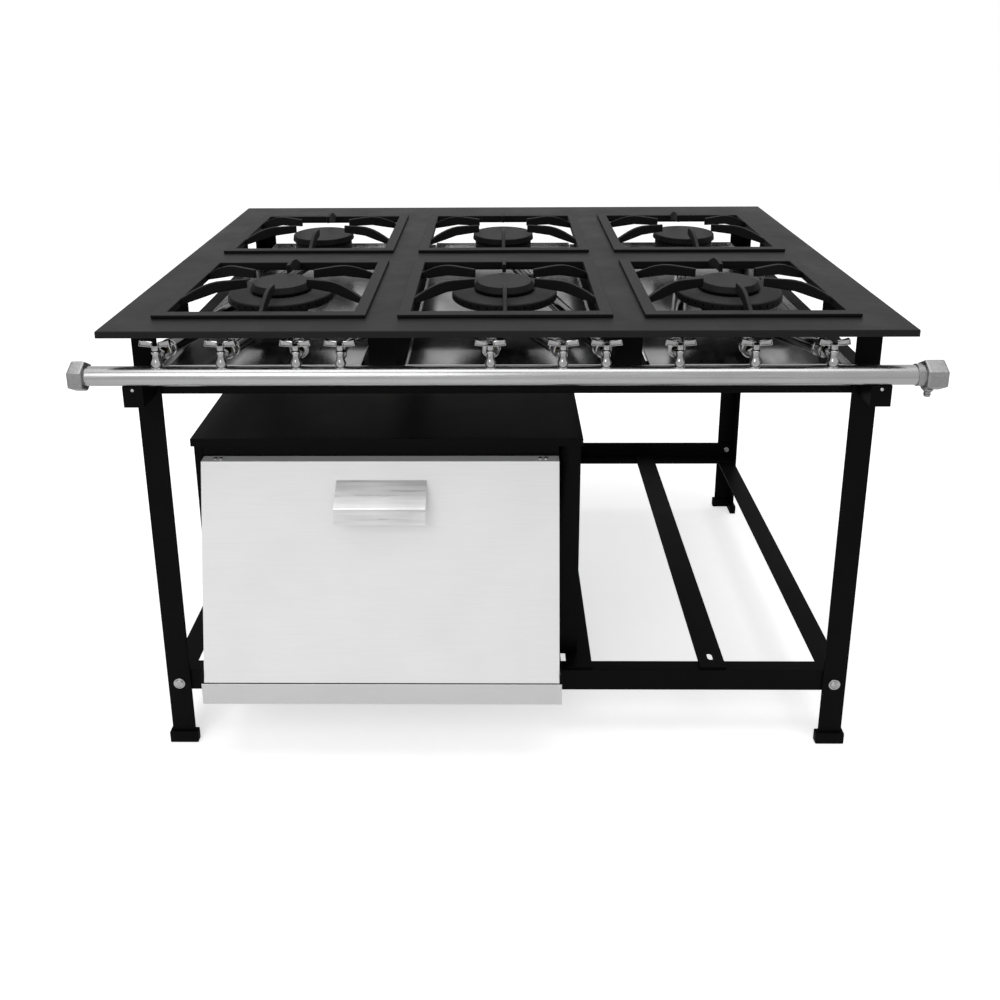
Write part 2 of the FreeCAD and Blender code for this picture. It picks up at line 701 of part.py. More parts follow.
# Grates: a square cast frame with a locating rim and six raised fingers towards the burner
def finger(name, length):
    """A finger plate: rises from the frame to a crest, then runs almost level to its tip."""
    return profile(name, [
        ("-finger_bite", "0"),
        ("-finger_bite", "grate_rise"),
        ("0", "grate_rise"),
        ("finger_crest_run", "finger_crest"),
        (length, "finger_end"),
        (length, "finger_belly"),
        ("finger_crest_run", "finger_belly"),
        ("0", "-rim_depth"),
        ("-rim_wall / 2", "-rim_depth"),
        ("-rim_wall / 2", "0"),
    ], "finger_thickness")


def grate(label, x, y):
    inner = "(grate_side - 2 * grate_bar)"
    rim = f"({inner} + 2 * rim_wall)"
    slab = fuse(label + "_slab",
                box(label + "_plate", f"{x} - grate_side / 2", f"{y} - grate_side / 2", "table_height",
                    "grate_side", "grate_side", "grate_rise"),
                box(label + "_rim", f"{x} - {rim} / 2", f"{y} - {rim} / 2", "table_height - rim_depth",
                    rim, rim, "rim_depth"))
    hole = box(label + "_hole", f"{x} - {inner} / 2", f"{y} - {inner} / 2", "table_height - rim_depth - 1",
               inner, inner, "rim_depth + grate_rise + 2")
    parts = [cut(label + "_frame", slab, hole)]
    for side, sx in (("left", -1), ("right", 1)):
        for end, sy in (("front", -1), ("rear", 1)):
            heading = f"(({sx}) * (90 + ({sy}) * side_finger_turn))"
            plate = finger(f"{label}_{side}_{end}", "side_finger_length")
            turn(plate, (0, 0, 1), heading)
            parts.append(place(plate, f"{x} + ({sx}) * {inner} / 2 - finger_thickness / 2 * cos({heading})",
                               f"{y} + ({sy}) * side_finger_root - finger_thickness / 2 * sin({heading})",
                               "table_height"))
    for end, sy, heading in (("front", -1, "0"), ("rear", 1, "180")):
        plate = finger(f"{label}_{end}", "middle_finger_length")
        turn(plate, (0, 0, 1), heading)
        parts.append(place(plate, f"{x} + ({sy}) * finger_thickness / 2", f"{y} + ({sy}) * {inner} / 2",
                           "table_height"))
    node(label, fuse(label, *parts))


COLUMNS = (("left", -1), ("centre", 0), ("right", 1))
for row in ("front", "rear"):
    for column, step in COLUMNS:
        grate(f"grate_{row}_{column}", f"({step}) * column_pitch", f"{row}_row")

# Drip trays lie on the upper cross rails, one under each burner column
for column, step in COLUMNS:
    label = f"drip_tray_{column}"
    x = f"({step}) * column_pitch - tray_width / 2"
    y = "rail_y_front + tray_gap"
    length = "(rail_y_rear - rail_y_front - 2 * tray_gap)"
    pan = box(label + "_pan", x, y, "upper_rail_top", "tray_width", length, "tray_height")
    hollow = box(label + "_hollow", f"{x} + tray_wall", f"{y} + tray_wall", "upper_rail_top + tray_wall",
                 "tray_width - 2 * tray_wall", f"{length} - 2 * tray_wall", "tray_height")
    node(label, cut(label, pan, hollow))


# Burners: each casting is a bowl with its mixer tube, whose bell mouth faces a tap's injector
def mixer(name, x, offset, row, stop):
    """A mixer tube from its bell mouth to a distance short of the burner's middle."""
    run = f"({row} - mouth_y)"
    length = f"(sqrt({run} ^ 2 + ({offset}) ^ 2) - {stop})"
    solid = fuse(name + "_solid",
                 rod(name + "_tube", "0", "0", "0", "mixer_radius", length, "y"),
                 cone(name + "_bell", "0", "0", "0", "mixer_mouth_radius", "mixer_radius",
                      "mixer_mouth_length", "y"))
    tube = cut(name, solid, rod(name + "_bore", "0", "-1", "0", "mixer_bore", "mixer_bore_depth", "y"))
    turn(tube, (0, 0, 1), f"atan2({offset}; {run})")
    return place(tube, f"{x} + {offset}", "mouth_y", "outlet_z")


def bowl(name, x, row, top, radius):
    solid = rod(name + "_solid", x, row, "burner_floor", radius, f"{top} - burner_floor")
    bore = rod(name + "_bore", x, row, f"{top} - bowl_bore_depth", "bowl_bore", "bowl_bore_depth + 1")
    return solid, bore


def burner_cap(name, x, row, top, radius):
    return fuse(name,
                cone(name + "_crown", x, row, f"{top} + cap_edge", radius, f"{radius} - cap_draw",
                     "cap_height - cap_edge"),
                rod(name + "_disc", x, row, top, radius, "cap_edge"),
                rod(name + "_spigot", x, row, f"{top} - cap_spigot_height", "bowl_bore - cap_spigot_gap",
                    "cap_spigot_height + 1"))


BURNER_TAPS = {
    "left": ("tap_two", "tap_three", "tap_one"),
    "centre": ("tap_five", "tap_six", "tap_seven"),
    "right": ("tap_ten", "tap_nine", "tap_eight"),
}
double_burners = []
single_burners = []
caps = []
for column, step in COLUMNS:
    x = f"({step}) * column_pitch"
    ring_tap, centre_tap, rear_tap = BURNER_TAPS[column]
    name = f"double_burner_{column}"
    ring_z = "(ring_top - ring_height)"
    ring_middle = "((ring_radius + ring_inner_radius) / 2)"
    ring = cut(name + "_ring",
               rod(name + "_ring_solid", x, "front_row", ring_z, "ring_radius", "ring_height"),
               rod(name + "_ring_hole", x, "front_row", f"{ring_z} - 1", "ring_inner_radius",
                   "ring_height + 2"))
    bridge = box(name + "_bridge", f"{x} - {ring_middle}", "front_row - ring_rib / 2", ring_z,
                 f"2 * {ring_middle}", "ring_rib", "ring_height / 2")
    reach = f"sqrt((front_row - mouth_y) ^ 2 + {ring_tap} ^ 2)"
    riser = rod(name + "_riser", f"{x} + {ring_tap} * {ring_middle} / {reach}",
                f"front_row - (front_row - mouth_y) * {ring_middle} / {reach}", "burner_floor",
                "riser_radius", f"{ring_z} - burner_floor + ring_height / 2")
    solid, bore = bowl(name + "_bowl", x, "front_row", "double_bowl_top", "bowl_radius")
    casting = fuse(name + "_casting", ring, bridge, riser, solid,
                   mixer(name + "_ring_mixer", x, ring_tap, "front_row", ring_middle),
                   mixer(name + "_centre_mixer", x, centre_tap, "front_row", "bowl_radius / 2"))
    double_burners.append(cut(name, casting, bore))
    caps.append(burner_cap(f"double_cap_{column}", x, "front_row", "double_bowl_top", "double_cap_radius"))
    name = f"single_burner_{column}"
    solid, bore = bowl(name + "_bowl", x, "rear_row", "single_bowl_top", "single_bowl_radius")
    casting = fuse(name + "_casting", solid,
                   mixer(name + "_mixer", x, rear_tap, "rear_row", "single_bowl_radius / 2"))
    single_burners.append(cut(name, casting, bore))
    caps.append(burner_cap(f"single_cap_{column}", x, "rear_row", "single_bowl_top", "single_cap_radius"))
group("double_burners", double_burners)
group("single_burners", single_burners)
group("burner_caps", caps)

# Oven casing of flat sheets: base on the shelf bars, two sides and a back
group("oven_casing", [
    box("oven_base", "oven_left", "oven_front", "shelf_top", "oven_width", "oven_depth", "base_sheet"),
    box("oven_left_side", "oven_left", "oven_front", "oven_floor_top", "sheet", "oven_depth",
        "oven_wall_height"),
    box("oven_right_side", "oven_left + oven_width - sheet", "oven_front", "oven_floor_top", "sheet",
        "oven_depth", "oven_wall_height"),
    cut("oven_back",
        box("oven_back_sheet", "oven_left + sheet", "oven_back_y - sheet", "oven_floor_top",
            "oven_width - 2 * sheet", "sheet", "oven_wall_height"),
        rod("oven_back_port", "door_middle", "oven_back_y - 2 * sheet", "oven_burner_z",
            "feed_radius + feed_hole_gap", "3 * sheet", "y")),
])
cover_x = "oven_left - cover_side_gap - sheet"
cover_y = "oven_front - cover_overhang"
cover_width = "(oven_width + 2 * cover_side_gap + 2 * sheet)"
cover_depth = "(oven_depth + cover_overhang + cover_side_gap + sheet)"
cover_z = "oven_top - cover_lip"
node("oven_cover", cut(
    "oven_cover",
    box("cover_outer", cover_x, cover_y, cover_z, cover_width, cover_depth, "cover_lip"),
    box("cover_inner", f"{cover_x} + sheet", f"{cover_y} + sheet", cover_z, f"{cover_width} - 2 * sheet",
        f"{cover_depth} - 2 * sheet", "cover_lip - sheet")))

# Front frame round the oven mouth: two stiles, a fascia, a bottom bar and a stop strip above the door
stile_z = "oven_floor_top"
inside_left = "(oven_left + sheet)"
inside_right = "(oven_left + oven_width - sheet)"
group("oven_front_frame", [
    box("left_stile", inside_left, "oven_front", stile_z, f"mouth_left - {inside_left}", "sheet",
        "oven_wall_height"),
    box("right_stile", "mouth_right", "oven_front", stile_z, f"{inside_right} - mouth_right", "sheet",
        "oven_wall_height"),
    box("fascia", "mouth_left", "oven_front", "mouth_roof", "mouth_width", "sheet",
        "cover_underside - mouth_roof"),
    box("mouth_bar", "mouth_left", "oven_front", stile_z, "mouth_width", "sheet", "mouth_sill"),
    box("door_stop", "door_left", "oven_front - stop_depth", f"{cover_z} - stop_height", "door_width",
        "stop_depth", "stop_height"),
])

# Cheeks close the leaning mouth at both sides, and hinge lugs stand outside the door
cheek_top = "(mouth_height + mouth_sill)"
mouth_parts = []
for side, x in (("left", "mouth_left - sheet"), ("right", "mouth_right")):
    cheek = profile(f"{side}_cheek", [
        ("cheek_foot_y", "0"),
        ("oven_front", "0"),
        ("oven_front", cheek_top),
        (f"min(seat_y + {cheek_top} * tan(door_lean); oven_front - sheet)", cheek_top),
        ("cheek_foot_y", "(cheek_foot_y - seat_y) / tan(door_lean)"),
    ], "sheet")
    mouth_parts.append(place(cheek, x, "0", "oven_floor_top"))
for side, x in (("left", "skirt_left"), ("right", "door_right + lug_gap")):
    plate = box(f"{side}_lug_plate", x, "skirt_y + sheet", "oven_floor_top", "lug_thickness",
                "oven_front - skirt_y - sheet", "lug_height")
    eye = rod(f"{side}_lug_eye", f"{x} - 1", "pin_y", "pin_z", "pin_radius + pin_gap", "lug_thickness + 2",
              "x")
    mouth_parts.append(cut(f"{side}_lug", plate, eye))
group("oven_mouth", mouth_parts)
skirt_width = "(door_width + 2 * lug_gap + 2 * lug_thickness)"
skirt_depth = "(oven_front - skirt_y)"
skirt_foot = "(shelf_top - skirt_drop)"
node("oven_skirt", fuse(
    "oven_skirt",
    box("skirt_face", "skirt_left", "skirt_y", skirt_foot, skirt_width, "sheet",
        f"door_z - skirt_top_gap - {skirt_foot}"),
    box("skirt_sill", "skirt_left", "skirt_y", "shelf_top", skirt_width, skirt_depth, "base_sheet")))

# Liner of thin sheets behind the front frame, with rack runners on its sides
liner_height = "(mouth_roof - oven_floor_top)"
group("oven_liner", [
    box("liner_left", "mouth_left - liner_sheet", "liner_front", "oven_floor_top", "liner_sheet",
        "liner_depth", liner_height),
    box("liner_right", "mouth_right", "liner_front", "oven_floor_top", "liner_sheet", "liner_depth",
        liner_height),
    box("liner_roof", "mouth_left - liner_sheet", "liner_front", "mouth_roof",
        "mouth_width + 2 * liner_sheet", "liner_depth", "liner_sheet"),
    box("liner_back", "mouth_left", "liner_front + liner_depth - liner_sheet", "oven_plate - base_sheet",
        "mouth_width", "liner_sheet", "mouth_roof - oven_plate + base_sheet"),
    box("left_runner", "mouth_left", "liner_front", "runner_z", "runner_width", "liner_depth - liner_sheet",
        "runner_thickness"),
    box("right_runner", "mouth_right - runner_width", "liner_front", "runner_z", "runner_width",
        "liner_depth - liner_sheet", "runner_thickness"),
])
floor_blank = box("floor_blank", "mouth_left", "liner_front", "oven_plate - base_sheet", "mouth_width",
                  "liner_depth - liner_sheet", "base_sheet")
FLOOR_SLOTS = 4
floor_slots = [
    box(f"floor_slot_{'abcd'[i]}",
        f"mouth_left + mouth_width * {i + 1} / {FLOOR_SLOTS + 1} - floor_slot_width / 2",
        "liner_front + (liner_depth - floor_slot_length) / 2", "oven_plate - base_sheet - 1",
        "floor_slot_width", "floor_slot_length", "base_sheet + 2")
    for i in range(FLOOR_SLOTS)
]
node("oven_floor", cut("oven_floor", floor_blank, *floor_slots))

# Wire rack: two cross rods on the runners with lengthwise wires welded on top
rack_x = "(mouth_left + rack_side_gap)"
rack_y = "(liner_front + rack_setback)"
rack_width = "(mouth_width - 2 * rack_side_gap)"
RACK_WIRES = 13
rod_inset = "2 * rack_rod_radius"
rack_parts = []
for end, y in (("front", rod_inset), ("rear", f"rack_depth - {rod_inset}")):
    rack_parts.append(rod(f"rack_rod_{end}", rack_x, f"{rack_y} + {y}", "rack_z", "rack_rod_radius",
                          rack_width, "x"))
for i in range(RACK_WIRES):
    x = f"{rack_x} + {rod_inset} + ({rack_width} - 2 * {rod_inset}) * {i} / {RACK_WIRES - 1}"
    rack_parts.append(rod(f"rack_wire_{'abcdefghijklm'[i]}", x, rack_y, "rack_z + rack_rod_radius",
                          "rack_wire_radius", "rack_depth", "y"))
node("oven_rack", fuse("oven_rack", *rack_parts))

# Oven burner: a straight tube under the floor plate, on a saddle, up to the casing's back
burner_y = "(oven_back_y - sheet - oven_burner_length)"
burner_tube = rod("oven_burner_tube", "door_middle", burner_y, "oven_burner_z", "oven_burner_radius",
                  "oven_burner_length", "y")
saddle = box("oven_burner_saddle", "door_middle - oven_burner_radius", f"{burner_y} + oven_burner_radius",
             "oven_floor_top", "2 * oven_burner_radius", "oven_burner_radius",
             "oven_burner_z - oven_floor_top")
node("oven_burner", fuse("oven_burner", burner_tube, saddle))

# Leaning door: a shallow folded pan with a back sheet, a bent pull, hinge pins and screws in its top edge
def on_door(piece, x, y="0", z="0", leans=True):
    """Places a piece that is drawn on the upright door, which leans back about its lower front edge."""
    if leans:
        turn(piece, (1, 0, 0), "-door_lean")
    return place(piece, x, f"door_y + ({y}) * cos(door_lean) + ({z}) * sin(door_lean)",
                 f"door_z - ({y}) * sin(door_lean) + ({z}) * cos(door_lean)")


def door_top(y):
    """Height up the door of its level top, at a depth behind the front face."""
    return f"(door_height + ({y}) * tan(door_lean))"


door_roof = "sheet / cos(door_lean)"
open_back = "(door_thickness + 1)"
door_blank = profile("door_blank", [
    ("0", "0"), ("door_thickness", "0"), ("door_thickness", door_top("door_thickness")), ("0", door_top("0")),
], "door_width")
door_hollow = profile("door_hollow", [
    ("sheet", "sheet"), (open_back, "sheet"), (open_back, f"{door_top(open_back)} - {door_roof}"),
    ("sheet", f"{door_top('sheet')} - {door_roof}"),
], "door_width - 2 * sheet")
pan = cut("door_pan", door_blank, place(door_hollow, "sheet", "0", "0"))
node("door_panel", on_door(pan, "door_left"))
back_y = "(door_thickness - base_sheet)"
back = box("door_back", "0", "0", "0", "door_width - 2 * sheet", "base_sheet",
           f"{door_top(back_y)} - {door_roof} - sheet")
node("door_back", on_door(back, "door_left + sheet", back_y, "sheet"))
pull = profile("door_handle", [
    ("0", "handle_rise"),
    ("-handle_reach", "handle_rise - handle_fall"),
    ("-handle_reach", "handle_rise - handle_fall - handle_lip"),
    ("-handle_reach + handle_sheet", "handle_rise - handle_fall - handle_lip"),
    ("-handle_reach + handle_sheet", "handle_rise - handle_fall - handle_sheet / 2"),
    ("0", "handle_rise - handle_sheet * 1.5"),
], "handle_width")
node("door_handle", on_door(pull, "door_middle - handle_width / 2 + handle_offset"))
group("door_hinge_pins", [
    rod("left_hinge_pin", "skirt_left", "pin_y", "pin_z", "pin_radius", "lug_thickness + lug_gap", "x"),
    rod("right_hinge_pin", "door_right", "pin_y", "pin_z", "pin_radius", "lug_thickness + lug_gap", "x"),
])
door_screws = []
for side, hand in (("left", 1), ("right", -1)):
    for spot in (0, 1):
        screw = rod(f"door_{side}_screw_{'outer' if spot == 0 else 'inner'}", "0", "0", "0",
                    "door_screw_radius", "door_screw_height")
        x = f"door_{side} + ({hand}) * (door_screw_edge + {spot} * door_screw_pitch)"
        door_screws.append(on_door(screw, x, "door_thickness / 2", door_top("door_thickness / 2"),
                                   leans=False))
group("door_screws", door_screws)
doc.recompute()


# Oven feed tube: from its tap back between two trays, down behind the oven and into the burner's rear
def rounded_path(points, radius):
    """Straight runs joined by tangent arcs."""
    edges = []
    start = points[0]
    for before, corner, after in zip(points, points[1:], points[2:]):
        back_way = (before - corner).normalize()
        on_way = (after - corner).normalize()
        half = back_way.getAngle(on_way) / 2
        first = corner + back_way * (radius / math.tan(half))
        last = corner + on_way * (radius / math.tan(half))
        middle = corner + (back_way + on_way).normalize() * (radius / math.sin(half) - radius)
        edges.append(Part.LineSegment(start, first).toShape())
        edges.append(Part.Arc(first, middle, last).toShape())
        start = last
    edges.append(Part.LineSegment(start, points[-1]).toShape())
    return Part.Wire(edges)


feed_x = f"(-column_pitch + tap_{OVEN_TAP})"
feed_y = "(pipe_y + tap_outlet_length)"
side_step = value_of(f"door_middle - {feed_x}")
lead = value_of("feed_lead")
turn_y = value_of("feed_lead + feed_shift")
rear_y = value_of(f"oven_back_y + feed_back_gap - {feed_y}")
run_z = value_of("-feed_drop")
end_y = value_of(f"oven_back_y - sheet - {feed_y}")
end_z = value_of("oven_burner_z - outlet_z")
route = rounded_path([
    FreeCAD.Vector(0, 0, 0),
    FreeCAD.Vector(0, lead, 0),
    FreeCAD.Vector(side_step, turn_y, 0),
    FreeCAD.Vector(side_step, turn_y, run_z),
    FreeCAD.Vector(side_step, rear_y, run_z),
    FreeCAD.Vector(side_step, rear_y, end_z),
    FreeCAD.Vector(side_step, end_y, end_z),
], value_of("feed_bend"))
sweeps = []
for radius in (value_of("feed_radius"), value_of("feed_radius - feed_wall")):
    section = Part.Wire(Part.makeCircle(radius, FreeCAD.Vector(), FreeCAD.Vector(0, 1, 0)))
    sweeps.append(route.makePipeShell([section], True, True))
feed = doc.addObject("Part::Feature", "oven_feed_tube")
feed.Shape = sweeps[0].cut(sweeps[1])
node("oven_feed_tube", place(feed, feed_x, feed_y, "outlet_z"))

# Checks, then one file for each sub-part
doc.recompute()
for item in doc.Objects:
    if "Invalid" in item.State or "Error" in item.State:
        raise RuntimeError(f"{item.Label} failed: {item.State}")
for piece in nodes:
    if piece.Shape.isNull() or not piece.Shape.isValid():
        raise RuntimeError(f"{piece.Label} has no valid shape")
os.makedirs("parts", exist_ok=True)
for piece in nodes:
    piece.Shape.exportStep(f"parts/{piece.Label}.step")
print(len(nodes), "nodes,", sum(len(piece.Shape.Solids) for piece in nodes), "solids")
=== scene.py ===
"""Open-frame six-burner gas stove with a floor oven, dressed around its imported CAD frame, in metres."""
import json
import math

import bmesh
import bpy
from mathutils import Matrix, Vector

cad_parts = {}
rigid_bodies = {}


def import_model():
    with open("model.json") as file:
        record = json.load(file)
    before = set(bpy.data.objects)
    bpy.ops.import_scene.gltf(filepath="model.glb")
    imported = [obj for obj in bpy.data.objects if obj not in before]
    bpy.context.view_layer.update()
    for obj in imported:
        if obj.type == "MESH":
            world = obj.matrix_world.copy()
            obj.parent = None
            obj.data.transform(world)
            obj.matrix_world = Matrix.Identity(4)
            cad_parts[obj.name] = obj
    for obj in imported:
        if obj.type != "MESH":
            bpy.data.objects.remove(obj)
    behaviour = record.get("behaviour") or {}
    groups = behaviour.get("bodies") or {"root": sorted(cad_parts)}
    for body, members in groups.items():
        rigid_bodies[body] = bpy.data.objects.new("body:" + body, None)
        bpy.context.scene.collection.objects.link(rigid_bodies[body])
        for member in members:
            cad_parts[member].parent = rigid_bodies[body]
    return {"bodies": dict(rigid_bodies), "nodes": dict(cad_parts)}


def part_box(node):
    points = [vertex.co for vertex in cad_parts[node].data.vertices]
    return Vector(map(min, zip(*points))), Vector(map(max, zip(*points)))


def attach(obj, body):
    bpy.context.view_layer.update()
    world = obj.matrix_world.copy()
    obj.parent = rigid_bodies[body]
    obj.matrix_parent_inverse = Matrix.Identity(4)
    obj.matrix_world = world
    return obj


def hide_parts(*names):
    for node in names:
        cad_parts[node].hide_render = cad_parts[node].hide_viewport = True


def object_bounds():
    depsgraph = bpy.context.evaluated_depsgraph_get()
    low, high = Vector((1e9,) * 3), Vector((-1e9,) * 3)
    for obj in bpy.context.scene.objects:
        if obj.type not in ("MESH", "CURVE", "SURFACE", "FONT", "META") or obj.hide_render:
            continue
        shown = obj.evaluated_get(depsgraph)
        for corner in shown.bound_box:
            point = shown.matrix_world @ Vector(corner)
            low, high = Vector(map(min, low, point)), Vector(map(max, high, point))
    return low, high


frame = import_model()
cad_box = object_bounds()
nodes = frame["nodes"]

# Table top: one welded tray of 2.5 mm steel with six square openings, every edge folded down 11 mm.
# It is stove-enamelled in a dry dark grey whose faint orange peel breaks up the light.


def linear(code):
    """An sRGB hex colour as linear RGBA."""
    parts = [int(code[i:i + 2], 16) / 255 for i in (1, 3, 5)]
    return [c / 12.92 if c <= 0.04045 else ((c + 0.055) / 1.055) ** 2.4 for c in parts] + [1]


def add(tree, kind, inputs=(), **settings):
    """Adds one shader node; each input is a value to set or a socket to link."""
    made = tree.nodes.new("ShaderNode" + kind)
    for name, value in settings.items():
        setattr(made, name, value)
    for name, value in dict(inputs).items():
        if isinstance(value, bpy.types.NodeSocket):
            tree.links.new(value, made.inputs[name])
        else:
            made.inputs[name].default_value = value
    return made


def surface(name):
    """A new material's node tree, its shader and its Object coordinates."""
    material = bpy.data.materials.new(name)
    material.use_nodes = True
    tree = material.node_tree
    return material, tree, tree.nodes["Principled BSDF"], add(tree, "TexCoord").outputs["Object"]


def two_tone(tree, factor, low, high, start=0.35, end=0.65):
    """Blends two hex colours over part of a pattern's range."""
    ramp = add(tree, "ValToRGB", {"Fac": factor})
    ramp.color_ramp.elements[0].position = start
    ramp.color_ramp.elements[0].color = linear(low)
    ramp.color_ramp.elements[1].position = end
    ramp.color_ramp.elements[1].color = linear(high)
    return ramp.outputs["Color"]


def paint(name, low, high, roughness, specular, peel_mm, depth_mm):
    """Baked paint on steel: cloudy tone over 90 mm and an orange peel of a few millimetres."""
    material, tree, shader, spot = surface(name)
    cloud = add(tree, "TexNoise", {"Vector": spot, "Scale": 1000 / 90, "Detail": 4, "Roughness": 0.6})
    peel = add(tree, "TexNoise", {"Vector": spot, "Scale": 1000 / peel_mm, "Detail": 2})
    gloss = add(tree, "MapRange", {"Value": cloud.outputs["Fac"], "From Min": 0.3, "From Max": 0.7,
                                   "To Min": roughness - 0.06, "To Max": roughness + 0.06})
    bump = add(tree, "Bump", {"Height": peel.outputs["Fac"], "Strength": 0.5, "Distance": depth_mm / 1000})
    tree.links.new(two_tone(tree, cloud.outputs["Fac"], low, high), shader.inputs["Base Color"])
    tree.links.new(gloss.outputs["Result"], shader.inputs["Roughness"])
    tree.links.new(bump.outputs["Normal"], shader.inputs["Normal"])
    shader.inputs["Specular IOR Level"].default_value = specular
    return material


def put(name, bm, material, body, replaced=(), sharp=32):
    """Turns a finished bmesh into a piece that rides a body and stands for CAD nodes."""
    mesh = bpy.data.meshes.new(name)
    bm.to_mesh(mesh)
    bm.free()
    mesh.shade_smooth()
    mesh.set_sharp_from_angle(angle=math.radians(sharp))
    mesh.materials.append(material)
    piece = bpy.data.objects.new(name, mesh)
    bpy.context.collection.objects.link(piece)
    piece.modifiers.new("flat_faces", "WEIGHTED_NORMAL").keep_sharp = True
    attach(piece, body)
    if replaced:
        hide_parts(*replaced)
    return piece


def edge_round(bm, edges, radius, segments=3):
    """Rounds the given edges."""
    bmesh.ops.bevel(bm, geom=edges, offset=radius, offset_type="OFFSET", segments=segments, profile=0.5,
                    affect="EDGES", clamp_overlap=True, material=-1)


def slide(bm, geom, vec):
    """Moves the vertices among some geometry, such as the new ones of an extrusion."""
    bmesh.ops.translate(bm, vec=vec, verts=[v for v in geom if isinstance(v, bmesh.types.BMVert)])


def centre(label):
    """The middle of a CAD node's box."""
    low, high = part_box(label)
    return (low + high) / 2


table_enamel = paint("stove_enamel_dark_grey", "#121212", "#171717", 0.52, 0.15, 2.2, 0.10)
side_lo, side_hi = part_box("top_side_channels")
table_top = side_hi.z
SHEET, BEND_RADIUS = 0.0025, 0.0018
GRATE_HALF, GRATE_LAP, COLUMN_PITCH = 0.170, 0.014, 0.390
opening_half = GRATE_HALF - GRATE_LAP
column_x = [-COLUMN_PITCH, 0.0, COLUMN_PITCH]
row_y = [centre("grate_front_left").y, centre("grate_rear_left").y]
lines_x = [side_lo.x] + [x + d for x in column_x for d in (-opening_half, opening_half)] + [side_hi.x]
lines_y = [side_lo.y] + [y + d for y in row_y for d in (-opening_half, opening_half)] + [side_hi.y]
bm = bmesh.new()
bmesh.ops.create_grid(bm, x_segments=len(lines_x) - 1, y_segments=len(lines_y) - 1, size=1)
for axis, lines in ((0, lines_x), (1, lines_y)):
    for vert in bm.verts:
        vert.co[axis] = lines[round((vert.co[axis] + 1) / 2 * (len(lines) - 1))]
for vert in bm.verts:
    vert.co.z = table_top


def over_burner(face):
    """Tells a face of an opening from a face of the sheet."""
    spot = face.calc_center_median()
    return any(max(abs(spot.x - x), abs(spot.y - y)) < opening_half / 2 for x in column_x for y in row_y)


bmesh.ops.delete(bm, geom=[f for f in bm.faces if over_burner(f)], context="FACES")
rim = [e for e in bm.edges if e.is_boundary]
fold = bmesh.ops.extrude_edge_only(bm, edges=rim)["geom"]
slide(bm, fold, (0, 0, side_lo.z - table_top))
bmesh.ops.recalc_face_normals(bm, faces=bm.faces)
if next(f for f in bm.faces if abs(f.normal.z) > 0.9).normal.z < 0:
    bmesh.ops.reverse_faces(bm, faces=bm.faces)
bends = [e for e in bm.edges if len(e.link_faces) == 2 and e.calc_face_angle() > 1]
edge_round(bm, bends, BEND_RADIUS)
bmesh.ops.solidify(bm, geom=bm.faces, thickness=SHEET)
put("table_top", bm, table_enamel, "stove_frame", ("top_side_channels", "top_cross_channels", "top_dividers"))

# Frame: rolled 40 mm angle iron, flat bars and posts, welded and bolted, with folded shoes on the leg ends.
# Everything is coated with the same near-black textured powder, so only its edges catch the light.


def eased(label, radius, segments=2):
    """A merged copy of a CAD node with its long sharp edges eased."""
    bm = bmesh.new()
    bm.from_mesh(nodes[label].data)
    bmesh.ops.remove_doubles(bm, verts=bm.verts, dist=1e-6)
    bmesh.ops.dissolve_limit(bm, angle_limit=0.01, verts=bm.verts, edges=bm.edges)
    sharp = [e for e in bm.edges if len(e.link_faces) == 2 and e.calc_face_angle() > 0.6
             and e.calc_length() > 4 * radius]
    edge_round(bm, sharp, radius, segments)
    return bm


black_powder = paint("powder_coat_black", "#080808", "#0c0c0c", 0.5, 0.04, 1.6, 0.08)
FRAME_EASE = {
    "leg_front_left": 0.0009, "leg_front_right": 0.0009, "leg_rear_left": 0.0009, "leg_rear_right": 0.0009,
    "leg_shoes": 0.0022, "upper_cross_rails": 0.0009, "upper_side_rails": 0.0009, "lower_cross_rails": 0.0009,
    "lower_side_rails": 0.0009, "shelf_bars": 0.0008, "table_posts": 0.0006, "burner_bars": 0.0006,
    "manifold_brackets": 0.0008,
}
for label, radius in FRAME_EASE.items():
    put(label + "_coated", eased(label, radius), black_powder, "stove_frame", (label,))

# Leg bolts: zinc-plated, with a domed head on a flat washer outside and a hexagon nut inside each leg.
# Zinc plate is bright with a faint cloudy bloom.


def metal(name, low, high, roughness, streak_mm, stretch, depth_mm=0.0, metallic=1.0):
    """Bare metal with streaks of the given spacing, drawn out along the axes where stretch is small."""
    material, tree, shader, spot = surface(name)
    drawn = add(tree, "Mapping", {"Vector": spot, "Scale": stretch})
    streak = add(tree, "TexNoise", {"Vector": drawn.outputs["Vector"], "Scale": 1000 / streak_mm,
                                    "Detail": 3})
    cloud = add(tree, "TexNoise", {"Vector": spot, "Scale": 1000 / 120, "Detail": 3})
    blend = add(tree, "Mix", {"Factor": 0.5, 2: streak.outputs["Fac"], 3: cloud.outputs["Fac"]})
    gloss = add(tree, "MapRange", {"Value": streak.outputs["Fac"], "From Min": 0.3, "From Max": 0.7,
                                   "To Min": roughness * 0.8, "To Max": roughness * 1.2})
    tree.links.new(two_tone(tree, blend.outputs["Result"], low, high), shader.inputs["Base Color"])
    tree.links.new(gloss.outputs["Result"], shader.inputs["Roughness"])
    if depth_mm:
        bump = add(tree, "Bump", {"Height": streak.outputs["Fac"], "Strength": 0.4,
                                  "Distance": depth_mm / 1000})
        tree.links.new(bump.outputs["Normal"], shader.inputs["Normal"])
    shader.inputs["Metallic"].default_value = metallic
    return material


